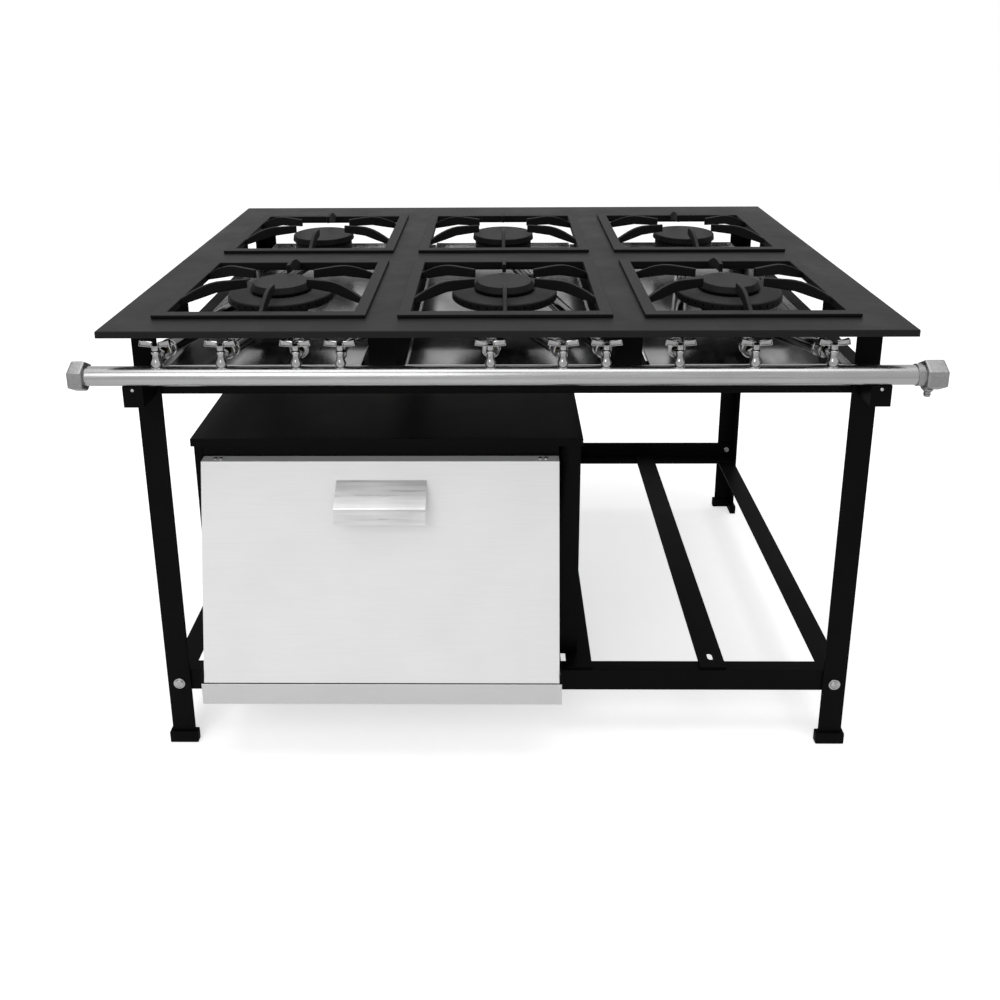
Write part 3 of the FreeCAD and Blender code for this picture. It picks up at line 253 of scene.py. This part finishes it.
def turned(outline, steps, place):
    """Spins a (radius, height) outline into a closed shell and puts it in place."""
    bm = bmesh.new()
    verts = [bm.verts.new((r, 0, h)) for r, h in outline]
    edges = [bm.edges.new(pair) for pair in zip(verts, verts[1:])]
    bmesh.ops.spin(bm, geom=verts + edges, cent=(0, 0, 0), axis=(0, 0, 1), angle=math.tau, steps=steps,
                   use_merge=True)
    bmesh.ops.remove_doubles(bm, verts=bm.verts, dist=1e-6)
    bmesh.ops.recalc_face_normals(bm, faces=bm.faces)
    bmesh.ops.transform(bm, matrix=place, verts=bm.verts)
    return bm


def hexagon(across, length, chamfer, place):
    """A hexagon bar whose corners are turned off at both ends."""
    bm = bmesh.new()
    bmesh.ops.create_cone(bm, cap_ends=True, segments=6, radius1=across / 2, radius2=across / 2, depth=length)
    bmesh.ops.translate(bm, vec=(0, 0, length / 2), verts=bm.verts)
    ends = [e for e in bm.edges if abs(e.verts[0].co.z - e.verts[1].co.z) < 1e-6]
    edge_round(bm, ends, chamfer, 3)
    bmesh.ops.transform(bm, matrix=place, verts=bm.verts)
    return bm


def joined(*shells):
    """Several shells as one bmesh."""
    whole = bmesh.new()
    for shell in shells:
        mesh = bpy.data.meshes.new("shell")
        shell.to_mesh(mesh)
        shell.free()
        whole.from_mesh(mesh)
        bpy.data.meshes.remove(mesh)
    return whole


def facing(spot, way):
    """The place of a piece whose own +Z points along a direction."""
    return Matrix.Translation(spot) @ Vector(way).to_track_quat("Z", "Y").to_matrix().to_4x4()


zinc = metal("zinc_plated_steel", "#9c9c9c", "#c4c4c4", 0.28, 6, (1, 1, 1))
bolt_lo, bolt_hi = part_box("leg_bolts")
WASHER_R, LEG_AND_RAIL = 0.010, 0.008
bolt_x = bolt_hi.x - WASHER_R
bolt_rows = ((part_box("leg_front_left")[0].y, -1, bolt_lo.z + WASHER_R),
             (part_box("leg_rear_left")[1].y, 1, bolt_hi.z - WASHER_R))
head = [(0, 0.0045), (0.003, 0.0044), (0.0055, 0.0038), (0.0071, 0.0026), (0.0074, 0.0013), (0.0098, 0.0013),
        (WASHER_R, 0.0011), (WASHER_R, 0), (0, 0)]
tip = [(0.004, 0), (0.004, 0.0085), (0.0034, 0.0095), (0, 0.0095)]
shells = []
for y, way, z in bolt_rows:
    for x in (-bolt_x, bolt_x):
        inside = facing((x, y - way * LEG_AND_RAIL, z), (0, -way, 0))
        shells.append(turned(head, 32, facing((x, y, z), (0, way, 0))))
        shells.append(hexagon(0.015, 0.0065, 0.0008, inside))
        shells.append(turned(tip, 20, inside))
put("leg_bolts_zinc", joined(*shells), zinc, "stove_frame", ("leg_bolts",))

# Gas manifold: a galvanised pipe across the front, closed at the left by a hexagon cap.
# At the right it ends in a collared hexagon fitting with a short hose nipple.
# The pipe's zinc is bright and drawn out along it, the fittings' zinc is dull.
galvanised = metal("galvanised_pipe", "#a0a0a0", "#acacac", 0.26, 5, (0.05, 1, 1))
pipe_lo, pipe_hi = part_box("gas_manifold")
pipe_y, pipe_z = centre("gas_manifold").yz
pipe_r, pipe_run = (pipe_hi.z - pipe_lo.z) / 2, pipe_hi.x - pipe_lo.x
BORE_R, EASE = 0.0125, 0.0006
tube = [(BORE_R, 0), (pipe_r - EASE, 0), (pipe_r, EASE), (pipe_r, pipe_run - EASE), (pipe_r - EASE, pipe_run),
        (BORE_R, pipe_run), (BORE_R, 0)]


def along_pipe(x):
    """The place of a piece that lies along the pipe from a given X."""
    return facing((x, pipe_y, pipe_z), (1, 0, 0))


put("gas_pipe", turned(tube, 64, along_pipe(pipe_lo.x)), galvanised, "stove_frame", ("gas_manifold",))

fitting = metal("galvanised_malleable_iron", "#868686", "#a0a0a0", 0.46, 4, (1, 1, 1), 0.06)
FITTING_CORNERS, FITTING_CHAMFER, NIPPLE_INSET = 0.049, 0.0045, 0.022
fitting_flat = FITTING_CORNERS / 2 * math.cos(math.radians(30))
cap_lo, cap_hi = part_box("manifold_cap")
cap_hex = hexagon(FITTING_CORNERS, cap_hi.x - cap_lo.x, FITTING_CHAMFER, along_pipe(cap_lo.x))
put("pipe_end_cap", cap_hex, fitting, "stove_frame", ("manifold_cap",))
inlet_lo, inlet_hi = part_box("manifold_inlet")
collar_run, collar_r, collar_ease = 0.011, pipe_r + 0.0016, 0.0008
collar = [(pipe_r, 0), (collar_r - collar_ease, 0), (collar_r, collar_ease), (collar_r, collar_run),
          (pipe_r, collar_run), (pipe_r, 0)]
inlet_hex = hexagon(FITTING_CORNERS, inlet_hi.x - inlet_lo.x - collar_run, FITTING_CHAMFER,
                    along_pipe(inlet_lo.x + collar_run))
barbs = [(0, 0), (0.0080, 0), (0.0080, 0.0034), (0.0074, 0.0040), (0.0047, 0.0040), (0.0047, 0.0050),
         (0.0055, 0.0056), (0.0047, 0.0084), (0.0047, 0.0090), (0.0055, 0.0096), (0.0045, 0.0138),
         (0.0042, 0.0140), (0.0028, 0.0140), (0.0028, 0.0060), (0, 0.0060)]
nipple = facing((inlet_hi.x - NIPPLE_INSET, pipe_y, pipe_z - fitting_flat), (0, 0, -1))
inlet_collar = turned(collar, 48, along_pipe(inlet_lo.x))
put("pipe_inlet", joined(inlet_collar, inlet_hex, turned(barbs, 32, nipple)), fitting, "stove_frame",
    ("manifold_inlet",))
SCREW_R = 0.003
screw_lo, screw_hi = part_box("manifold_screws")
dome = [(0, 0.0020), (0.0012, 0.0019), (0.0023, 0.0013), (0.0029, 0.0006), (SCREW_R, 0), (0, 0)]
shells = [turned(dome, 24, facing((x, screw_hi.y, centre("manifold_screws").z), (0, -1, 0)))
          for x in (screw_lo.x + SCREW_R, screw_hi.x - SCREW_R)]
put("bracket_screws", joined(*shells), zinc, "stove_frame", ("manifold_screws",))

# Taps: chromed brass cocks screwed into the pipe, each with a nut and a brass injector on its outlet.
# The handle is a turned spindle with two raised wings, panelled on every side that shows.
# Chrome is a clean mirror with slight ripples.
chrome = metal("chromed_brass", "#949494", "#acacac", 0.10, 9, (1, 1, 1), 0.04)
brass = metal("turned_brass", "#86754e", "#9c8a62", 0.24, 3, (1, 1, 1))
handle_names = sorted(name for name in frame["bodies"] if name.startswith("tap_handle_"))
tap_x = {name: centre(name).x for name in handle_names}
tap_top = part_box("tap_bodies")[1].z
outlet_z = centre("injectors").z
spout_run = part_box("injectors")[0].y - pipe_y
SPOUT_R, WASHER_OUT, NUT_OUT = 0.0056, 0.0092, 0.0125
cock = [(0, -0.0300), (0.0088, -0.0300), (0.0088, -0.0268), (0.0082, -0.0260), (0.0064, -0.0256),
        (0.0064, -0.0244), (0.0080, -0.0238), (0.0086, -0.0222), (0.0084, -0.0198), (0.0074, -0.0168),
        (0.0062, -0.0140), (0.0054, -0.0118), (0.0052, -0.0070), (0.0052, -0.0052), (0.0066, -0.0045),
        (0.0066, -0.0012), (0.0058, -0.0004), (0.0041, 0), (0, 0)]
spout = [(0, 0), (SPOUT_R, 0), (SPOUT_R, spout_run - 0.0012), (0.0046, spout_run), (0, spout_run)]
washer = [(SPOUT_R, 0), (0.0074, 0), (0.0078, 0.0004), (0.0078, 0.0021), (0.0074, 0.0025), (SPOUT_R, 0.0025)]


def on_outlet(x, out):
    """The place of a piece on a tap's outlet, at a distance behind the pipe's axis."""
    return facing((x, pipe_y + out, outlet_z), (0, 1, 0))


def coat(label, material):
    """Gives a CAD node that stays in view its material."""
    nodes[label].data.materials.clear()
    nodes[label].data.materials.append(material)


shells = []
for x in tap_x.values():
    shells.append(turned(cock, 32, Matrix.Translation((x, pipe_y, tap_top))))
    shells.append(turned(spout, 28, on_outlet(x, 0)))
    shells.append(hexagon(0.0162, 0.0080, 0.0009, on_outlet(x, NUT_OUT)))
    shells.append(turned(washer, 28, on_outlet(x, WASHER_OUT)))
put("tap_cocks", joined(*shells), chrome, "stove_frame", ("tap_bodies",))
coat("injectors", brass)
WING_SIZE, WING_REACH, WING_TILT = (0.0195, 0.0088, 0.0098), 0.0151, math.radians(11)
WING_LIFT, WING_PANEL = 0.0085, 2e-5


def wing(x, hand):
    """One wing: a chunky block with a sunk panel on its front and back, raised at its end."""
    bm = bmesh.new()
    bmesh.ops.create_cube(bm, size=1)
    bmesh.ops.scale(bm, vec=WING_SIZE, verts=bm.verts)
    bmesh.ops.translate(bm, vec=(WING_REACH, 0, 0), verts=bm.verts)
    root = [v for v in bm.verts if v.co.x < WING_REACH]
    bmesh.ops.scale(bm, vec=(1, 0.70, 0.74), verts=root)
    edge_round(bm, bm.edges[:], 0.0013, 2)
    panels = [f for f in bm.faces if abs(f.normal.y) > 0.9 and f.calc_area() > WING_PANEL]
    bmesh.ops.inset_individual(bm, faces=panels, thickness=0.0014, depth=-0.0022)
    crown = [f for f in bm.faces if f.normal.z > 0.9 and f.calc_area() > WING_PANEL]
    bmesh.ops.inset_individual(bm, faces=crown, thickness=0.0016, depth=-0.0018)
    if hand < 0:
        bmesh.ops.rotate(bm, cent=(0, 0, 0), matrix=Matrix.Rotation(math.pi, 3, "Z"), verts=bm.verts)
    tilt = Matrix.Rotation(-WING_TILT * hand, 4, "Y")
    place = Matrix.Translation((x - hand * 0.001, pipe_y, tap_top + WING_LIFT))
    bmesh.ops.transform(bm, matrix=place @ tilt, verts=bm.verts)
    return bm


hub = [(0, -0.0110), (0.0038, -0.0110), (0.0038, 0.0005), (0.0050, 0.0006), (0.0058, 0.0014),
       (0.0060, 0.0066), (0.0054, 0.0087), (0.0042, 0.0094), (0.0028, 0.0090), (0, 0.0088)]
for name, x in tap_x.items():
    handle = joined(turned(hub, 28, Matrix.Translation((x, pipe_y, tap_top))), wing(x, -1), wing(x, 1))
    put(name + "_chromed", handle, chrome, name, (name,))

# Burners: sand-cast iron bowls, rings and lids, with a row of flame slots round each rim.
# As-cast iron is black and dull, with a sandy grain of a few millimetres; level tops are painted greyer as
# painted light from above, and the sides are painted darker as painted shade.
# The mixers are polished steel tubes with zinc-plated cups pressed on their mouths, each before its injector.


def cast_iron_painted_top_light():
    """Black as-cast iron with painted light: it turns greyer where a face looks up and stays darker on the
    sides as painted shade.
    """
    material, tree, shader, spot = surface("cast_iron_black_painted_top_light")
    sand = add(tree, "TexNoise", {"Vector": spot, "Scale": 1000 / 2.4, "Detail": 4, "Roughness": 0.7})
    lump = add(tree, "TexVoronoi", {"Vector": spot, "Scale": 1000 / 5}, feature="SMOOTH_F1")
    height = add(tree, "Mix", {"Factor": 0.35, 2: sand.outputs["Fac"], 3: lump.outputs["Distance"]})
    bump = add(tree, "Bump", {"Height": height.outputs["Result"], "Strength": 0.9, "Distance": 0.0009})
    gloss = add(tree, "MapRange", {"Value": sand.outputs["Fac"], "From Min": 0.3, "From Max": 0.7,
                                   "To Min": 0.50, "To Max": 0.75})
    # Painted light and shade: up-facing faces get a lighter grey and side faces a near-black darker tone,
    # standing in for overhead light and shade on the sides.
    facet = add(tree, "SeparateXYZ", {"Vector": add(tree, "TexCoord").outputs["Normal"]})
    up_facing_light_mask = add(tree, "MapRange", {"Value": facet.outputs["Z"], "From Min": 0.6, "From Max": 0.95})
    black_shaded_side_tone = two_tone(tree, sand.outputs["Fac"], "#050505", "#0c0c0c")
    painted_lit_top_tone = two_tone(tree, sand.outputs["Fac"], "#1e1e1e", "#363636")
    tone = add(tree, "Mix", {"Factor": up_facing_light_mask.outputs["Result"], 6: black_shaded_side_tone, 7: painted_lit_top_tone}, data_type="RGBA")
    tree.links.new(tone.outputs[2], shader.inputs["Base Color"])
    tree.links.new(gloss.outputs["Result"], shader.inputs["Roughness"])
    tree.links.new(bump.outputs["Normal"], shader.inputs["Normal"])
    shader.inputs["Specular IOR Level"].default_value = 0.12
    return material


cast_iron = cast_iron_painted_top_light()


def slotted(bm, centre, low, high, inner, every, depth):
    """Sinks flame slots into every few faces of the outer wall between two heights."""
    def bearing(face):
        spot = face.calc_center_median()
        return math.atan2(spot.y - centre.y, spot.x - centre.x)
    wall = [f for f in bm.faces if low < f.calc_center_median().z < high and abs(f.normal.z) < 0.3
            and (f.calc_center_median() - centre).to_2d().length > inner]
    wall.sort(key=bearing)
    slots = wall[::every]
    bmesh.ops.inset_individual(bm, faces=slots, thickness=0.0006)
    bmesh.ops.inset_individual(bm, faces=slots, thickness=0.0001, depth=-depth)
    return bm


def mixer(mouth, end):
    """A mixer tube with a thin bore, from behind its bell mouth to the casting."""
    run = (end - mouth).length
    outline = [(0, 0.060), (0.009, 0.060), (0.009, 0.0172), (0.0128, 0.0172), (0.0130, run), (0, run)]
    return turned(outline, 36, facing(mouth, end - mouth))


def bell(mouth, end):
    """The cupped mouth with its air plate, pressed on the mixer tube."""
    outline = [(0.0065, 0.0026), (0.0065, 0.0010), (0.0072, 0.0004), (0.0120, 0.0002), (0.0134, 0.0010),
               (0.0142, 0.0030), (0.0140, 0.0066), (0.0134, 0.0080), (0.0134, 0.0130), (0.0144, 0.0140),
               (0.0144, 0.0172), (0.0136, 0.0180), (0.0090, 0.0180), (0.0090, 0.0026), (0.0065, 0.0026)]
    return turned(outline, 36, facing(mouth, end - mouth))


mouth_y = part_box("double_burners")[0].y
tap_order = sorted(tap_x.values())
FEEDS = dict(zip(column_x, ((1, 2, 0), (4, 5, 6), (9, 8, 7))))
RING_LOW, RING_TOP, SLOT_DEPTH = 0.771, 0.787, 0.004
RISER_OUT, BOWL_OUT, POT_OUT = 0.0708, 0.022, 0.030
floor_z, bowl_top = (corner.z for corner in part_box("double_burners"))
pot_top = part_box("single_burners")[1].z
ring = [(0.0500, RING_LOW), (0.0880, RING_LOW), (0.0912, RING_LOW + 0.0025), (0.0915, RING_LOW + 0.0040),
        (0.0915, RING_TOP - 0.0048), (0.0909, RING_TOP - 0.0022), (0.0893, RING_TOP - 0.0008),
        (0.0840, RING_TOP - 0.0002), (0.0560, RING_TOP), (0.0515, RING_TOP - 0.0002),
        (0.0500, RING_TOP - 0.0015), (0.0500, RING_LOW)]
boss = [(0, floor_z), (0.012, floor_z), (0.014, floor_z + 0.002), (0.014, RING_LOW + 0.008),
        (0, RING_LOW + 0.008)]


def bowl(spot, foot, swell, r, top, steps):
    """A slotted cast bowl, open at its top."""
    outline = [(0, floor_z), (foot, floor_z), (swell, floor_z + 0.004), (r - 0.0008, floor_z + 0.014),
               (r, floor_z + 0.020), (r, top - 0.0068), (r, top - 0.0006), (r - 0.0006, top), (0.030, top),
               (0.030, top - 0.024), (0, top - 0.024)]
    shell = turned(outline, steps, Matrix.Translation(spot))
    return slotted(shell, spot, top - 0.0066, top - 0.0008, r - 0.005, 2, SLOT_DEPTH)


def lid(spot, top, r, draw):
    """A lid that rests on a bowl and is drawn in towards its slightly dished top."""
    outline = [(0, top + 0.0112), (0.016, top + 0.0115), (r - draw - 0.005, top + 0.0120),
               (r - draw - 0.0010, top + 0.0117), (r - draw, top + 0.0106), (r - 0.0004, top + 0.0032),
               (r, top + 0.0024), (r, top + 0.0008), (r - 0.0008, top), (0.0294, top), (0.0294, top - 0.006),
               (0, top - 0.006)]
    return turned(outline, 96, Matrix.Translation(spot))


doubles, singles, mixers, bells, caps = [], [], [], [], []
for x, (ring_tap, bowl_tap, pot_tap) in FEEDS.items():
    front, rear = Vector((x, row_y[0], 0)), Vector((x, row_y[1], 0))
    ring_shell = turned(ring, 180, Matrix.Translation(front))
    doubles.append(slotted(ring_shell, front, RING_LOW + 0.0042, RING_TOP - 0.0050, 0.08, 5, SLOT_DEPTH))
    doubles.append(bowl(front, 0.030, 0.038, 0.044, bowl_top, 72))
    bridge = bmesh.new()
    bmesh.ops.create_cube(bridge, size=1)
    bmesh.ops.scale(bridge, vec=(0.1415, 0.012, 0.008), verts=bridge.verts)
    bmesh.ops.translate(bridge, vec=(x, row_y[0], RING_LOW + 0.004), verts=bridge.verts)
    edge_round(bridge, bridge.edges[:], 0.0015, 2)
    doubles.append(bridge)
    ends = []
    runs = ((ring_tap, row_y[0], RISER_OUT), (bowl_tap, row_y[0], BOWL_OUT), (pot_tap, row_y[1], POT_OUT))
    for tap, y, out in runs:
        mouth, middle = Vector((tap_order[tap], mouth_y, outlet_z)), Vector((x, y, outlet_z))
        ends.append(middle + (mouth - middle).normalized() * out)
        mixers.append(mixer(mouth, ends[-1]))
        bells.append(bell(mouth, ends[-1]))
    doubles.append(turned(boss, 32, Matrix.Translation((ends[0].x, ends[0].y, 0))))
    singles.append(bowl(rear, 0.044, 0.053, 0.060, pot_top, 84))
    caps += [lid(front, bowl_top, 0.053, 0.0052), lid(rear, pot_top, 0.065, 0.0012)]
put("double_burner_castings", joined(*doubles), cast_iron, "stove_frame", ("double_burners",))
put("single_burner_castings", joined(*singles), cast_iron, "stove_frame", ("single_burners",))
put("burner_lids", joined(*caps), cast_iron, "stove_frame", ("burner_caps",))
tube_steel = metal("polished_steel_tube", "#5c5c5c", "#707070", 0.16, 8, (1, 0.1, 1))
put("mixer_tubes", joined(*mixers), tube_steel, "stove_frame")
put("mixer_bells", joined(*bells), zinc, "stove_frame")

# Grates: one-piece iron castings that drop into the openings, a flat frame with six fingers to the flame.
# Each finger rises to a crest half way along it, and its edges are rounded by the sand mould.
FINGER_CREST, FINGER_TIP, FINGER_BELLY, FINGER_THICK = 0.0268, 0.025, 0.010, 0.007
GRATE_CLEAR, SEAT_HALF, FINGER_RING, SIDE_ROOT = 0.150, 0.155, 0.060, 0.075


def finger(length, place):
    """One finger: an arched side outline drawn out to its thickness."""
    outline = [(-0.008, 0.0005), (-0.008, 0.0056), (0.0, 0.0064), (0.012, 0.0126), (0.024, 0.0182),
               (0.036, 0.0226), (0.047, 0.0254), (0.058, FINGER_CREST), (0.070, FINGER_CREST),
               (length, FINGER_TIP), (length, FINGER_BELLY), (0.056, FINGER_BELLY - 0.0024), (0.030, 0.0012),
               (0.0, -0.0058), (-0.0025, -0.0058), (-0.0025, 0.0005)]
    bm = bmesh.new()
    side = bm.faces.new([bm.verts.new((-FINGER_THICK / 2, u, z)) for u, z in outline])
    moved = bmesh.ops.extrude_face_region(bm, geom=[side])["geom"]
    slide(bm, moved, (FINGER_THICK, 0, 0))
    bmesh.ops.recalc_face_normals(bm, faces=bm.faces)
    rails = [e for e in bm.edges if abs(e.verts[0].co.x - e.verts[1].co.x) < 1e-6]
    edge_round(bm, rails, 0.0016, 3)
    bmesh.ops.transform(bm, matrix=place, verts=bm.verts)
    return bm


def square_ring(outer, inner, low, high, radius, spot):
    """A flat square frame with rounded edges."""
    bm = bmesh.new()
    bmesh.ops.create_grid(bm, x_segments=3, y_segments=3, size=outer)
    hole = [f for f in bm.faces if f.calc_center_median().length < outer / 3]
    bmesh.ops.delete(bm, geom=hole, context="FACES")
    for vert in bm.verts:
        for axis in (0, 1):
            if abs(vert.co[axis]) < outer / 2:
                vert.co[axis] = math.copysign(inner, vert.co[axis])
    moved = bmesh.ops.extrude_face_region(bm, geom=bm.faces[:])["geom"]
    slide(bm, moved, (0, 0, high - low))
    bmesh.ops.recalc_face_normals(bm, faces=bm.faces)
    edge_round(bm, [e for e in bm.edges if e.calc_face_angle() > 1], radius, 3)
    bmesh.ops.translate(bm, vec=(spot.x, spot.y, low), verts=bm.verts)
    return bm


side_in = GRATE_CLEAR - FINGER_RING * math.cos(math.radians(30))
side_along = SIDE_ROOT - FINGER_RING * math.sin(math.radians(30))
side_turn, side_length = math.atan(side_along / side_in), math.hypot(side_along, side_in)
for row, y in zip(("front", "rear"), row_y):
    for column, x in zip(("left", "centre", "right"), column_x):
        label = f"grate_{row}_{column}"
        spot = Vector((x, y, table_top))
        flange = square_ring(GRATE_HALF, GRATE_CLEAR, table_top + 0.0002, table_top + 0.006, 0.0014, spot)
        seat = square_ring(SEAT_HALF, GRATE_CLEAR + 0.0002, table_top - 0.006, table_top + 0.002, 0.0008, spot)
        shells = [flange, seat]
        for sx in (-1, 1):
            for sy in (-1, 1):
                root = spot + Vector((sx * GRATE_CLEAR, sy * SIDE_ROOT, 0))
                heading = sx * (math.pi / 2 + sy * side_turn)
                place = Matrix.Translation(root) @ Matrix.Rotation(heading, 4, "Z")
                shells.append(finger(side_length, place))
        for sy, heading in ((-1, 0), (1, math.pi)):
            root = spot + Vector((0, sy * GRATE_CLEAR, 0))
            place = Matrix.Translation(root) @ Matrix.Rotation(heading, 4, "Z")
            shells.append(finger(GRATE_CLEAR - FINGER_RING, place))
        put(label + "_casting", joined(*shells), cast_iron, label, (label,))

# Drip trays: bright stainless sheet, folded up all round, lying on the upper rails under the burners.
# The mill finish is a soft mirror whose faint lines run from front to back.
tray_steel = metal("bright_stainless_sheet", "#b2b2b2", "#b5b5b5", 0.20, 30, (1, 0.1, 1))
for column in ("left", "centre", "right"):
    label = f"drip_tray_{column}"
    put(label + "_folded", eased(label, 0.0003), tray_steel, label, (label,))

# Oven body: folded sheet in black semi-gloss paint, with a lipped cover laid over the casing.
# The lining is grey enamel, the floor plate and burner tube are plain, the rack is plated wire.
oven_black = paint("semi_gloss_black_paint", "#040404", "#070707", 0.36, 0.05, 3.5, 0.06)
for label, radius in {"oven_casing": 0.0005, "oven_cover": 0.0014, "oven_front_frame": 0.0004,
                      "oven_mouth": 0.0005}.items():
    put(label + "_painted", eased(label, radius), oven_black, "stove_frame", (label,))
lining = paint("grey_vitreous_enamel", "#595b5d", "#686a6c", 0.34, 0.4, 8, 0.05)
tube_metal = metal("drawn_aluminium_tube", "#aaaaaa", "#c6c6c6", 0.32, 4, (1, 1, 0.1))
rack_wire = metal("nickel_plated_wire", "#a5a6a6", "#c2c3c3", 0.22, 5, (1, 0.1, 1))
for label, material in {"oven_liner": lining, "oven_floor": lining, "oven_rack": rack_wire,
                        "oven_burner": tube_metal, "oven_feed_tube": tube_metal}.items():
    coat(label, material)

# Door: a leaning pan of satin stainless sheet with a plain back sheet, a folded pull and pins in two lugs.
# Satin stainless shows fine level brushing and a broad soft reflection. The sill and skirt below are duller.
door_steel = metal("satin_stainless_sheet", "#e8e8e8", "#eeeeee", 0.46, 1.6, (0.02, 1, 1), metallic=0.45)
put("door_pan", eased("door_panel", 0.0006), door_steel, "oven_door", ("door_panel",))
put("door_back_sheet", eased("door_back", 0.0005), door_steel, "oven_door", ("door_back",))
skirt_steel = metal("dull_stainless_sheet", "#cecece", "#d4d4d4", 0.46, 1.6, (0.02, 1, 1), metallic=0.45)
put("sill_and_skirt", eased("oven_skirt", 0.0006), skirt_steel, "stove_frame", ("oven_skirt",))
LEAN, PAN_DEPTH, PULL_SHEET = math.radians(12.7), 0.020, 0.0018
PULL_SIDE = ((-0.0004, 0.3426), (-0.035, 0.305), (-0.035, 0.279))
door_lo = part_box("door_panel")[0]
pull_lo, pull_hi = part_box("door_handle")
door_foot = Matrix.Translation((0, door_lo.y, door_lo.z + PAN_DEPTH * math.sin(LEAN)))
bm = bmesh.new()
strip = [bm.verts.new((pull_lo.x, y, z)) for y, z in PULL_SIDE]
edges = [bm.edges.new(pair) for pair in zip(strip, strip[1:])]
swept = bmesh.ops.extrude_edge_only(bm, edges=edges)["geom"]
slide(bm, swept, (pull_hi.x - pull_lo.x, 0, 0))
fold = [e for e in bm.edges if len(e.link_faces) == 2]
edge_round(bm, fold, 0.0015, 3)
bmesh.ops.recalc_face_normals(bm, faces=bm.faces)
bmesh.ops.solidify(bm, geom=bm.faces, thickness=PULL_SHEET)
bmesh.ops.recalc_face_normals(bm, faces=bm.faces)
bmesh.ops.transform(bm, matrix=door_foot @ Matrix.Rotation(-LEAN, 4, "X"), verts=bm.verts)
pull_steel = metal("polished_stainless_strip", "#cccccc", "#f2f2f2", 0.32, 7, (0.05, 1, 1), 0.05, 0.5)
put("door_pull", bm, pull_steel, "oven_door", ("door_handle",))
for label in ("door_hinge_pins", "door_screws"):
    coat(label, zinc)

# Studio: a white paper floor under a white backdrop, which polished metal mirrors a little dimmer.
# One broad lamp hangs overhead, a soft fill stands at the front left, the camera looks as in the photograph.
world = bpy.data.worlds.new("studio")
bpy.context.scene.world = world
world.use_nodes = True
tree = world.node_tree
path = add(tree, "LightPath")
mirrored = add(tree, "Math", {0: path.outputs["Is Glossy Ray"], 1: 0.80}, operation="MULTIPLY")
seen = add(tree, "Math", {0: path.outputs["Is Camera Ray"], 1: mirrored.outputs[0]}, operation="MAXIMUM")
seen = add(tree, "Math", {0: seen.outputs[0], 1: path.outputs["Is Transmission Ray"]}, operation="MAXIMUM")
glow = add(tree, "MapRange", {"Value": seen.outputs[0], "To Min": 0.40, "To Max": 1.0})
backdrop = tree.nodes["Background"]
backdrop.inputs["Color"].default_value = linear("#ffffff")
tree.links.new(glow.outputs["Result"], backdrop.inputs["Strength"])

floor_paper, tree, shader, spot = surface("white_studio_paper")
fibre = add(tree, "TexNoise", {"Vector": spot, "Scale": 1000 / 40, "Detail": 3})
tone = two_tone(tree, fibre.outputs["Fac"], "#f6f6f6", "#fbfbfb")
tree.links.new(tone, shader.inputs["Base Color"])
shader.inputs["Roughness"].default_value = 0.9
shader.inputs["Specular IOR Level"].default_value = 0.0
path = add(tree, "LightPath")
mirrored = add(tree, "Math", {0: path.outputs["Is Glossy Ray"], 1: 0.3}, operation="MULTIPLY")
seen = add(tree, "Math", {0: path.outputs["Is Camera Ray"], 1: mirrored.outputs[0]}, operation="MAXIMUM")
lift = add(tree, "Math", {0: seen.outputs[0], 1: 0.6}, operation="MULTIPLY")
white = add(tree, "Emission", {"Color": linear("#ffffff"), "Strength": lift.outputs[0]})
both = add(tree, "AddShader", {0: shader.outputs[0], 1: white.outputs[0]})
tree.links.new(both.outputs[0], tree.nodes["Material Output"].inputs["Surface"])
bm = bmesh.new()
FLOOR_HALF, FLOOR_GAP = 6, 0.0005
bmesh.ops.create_grid(bm, x_segments=1, y_segments=1, size=FLOOR_HALF)
bmesh.ops.translate(bm, vec=(0, 0, cad_box[0].z - FLOOR_GAP), verts=bm.verts)
mesh = bpy.data.meshes.new("floor")
bm.to_mesh(mesh)
bm.free()
mesh.materials.append(floor_paper)
floor = bpy.data.objects.new("floor", mesh)
bpy.context.collection.objects.link(floor)


def lamp(name, spot, target, size, power):
    """A rectangular area lamp that points at a target."""
    light = bpy.data.lights.new(name, "AREA")
    light.shape = "RECTANGLE"
    light.size, light.size_y = size
    light.energy = power
    made = bpy.data.objects.new(name, light)
    made.location = spot
    made.rotation_euler = (Vector(target) - Vector(spot)).to_track_quat("-Z", "Y").to_euler()
    bpy.context.collection.objects.link(made)


lamp("overhead", (0, -0.3, 3.4), (0, 0, 0.4), (3.2, 2.6), 58)
lamp("front_fill", (-1.1, -3.0, 2.6), (0, 0, 0.5), (2.0, 1.6), 30)

PITCH, YAW, ROLL = (math.radians(a) for a in (14.90, -0.67, -0.35))
EYE = (-0.0099, side_lo.y - 1.3483, 1.2595)
ahead = Vector((math.sin(YAW) * math.cos(PITCH), math.cos(YAW) * math.cos(PITCH), -math.sin(PITCH)))
level = Vector((math.cos(YAW), -math.sin(YAW), 0))
upward = level.cross(ahead)
right = math.cos(ROLL) * level + math.sin(ROLL) * upward
upward = -math.sin(ROLL) * level + math.cos(ROLL) * upward
lens = bpy.data.cameras.new("camera")
lens.lens = 33.93
lens.shift_x, lens.shift_y = 0.012, -0.24
camera = bpy.data.objects.new("camera", lens)
camera.matrix_world = Matrix.Translation(EYE) @ Matrix((right, upward, -ahead)).transposed().to_4x4()
bpy.context.collection.objects.link(camera)
bpy.context.scene.camera = camera
bpy.context.scene.view_settings.view_transform = "Standard"
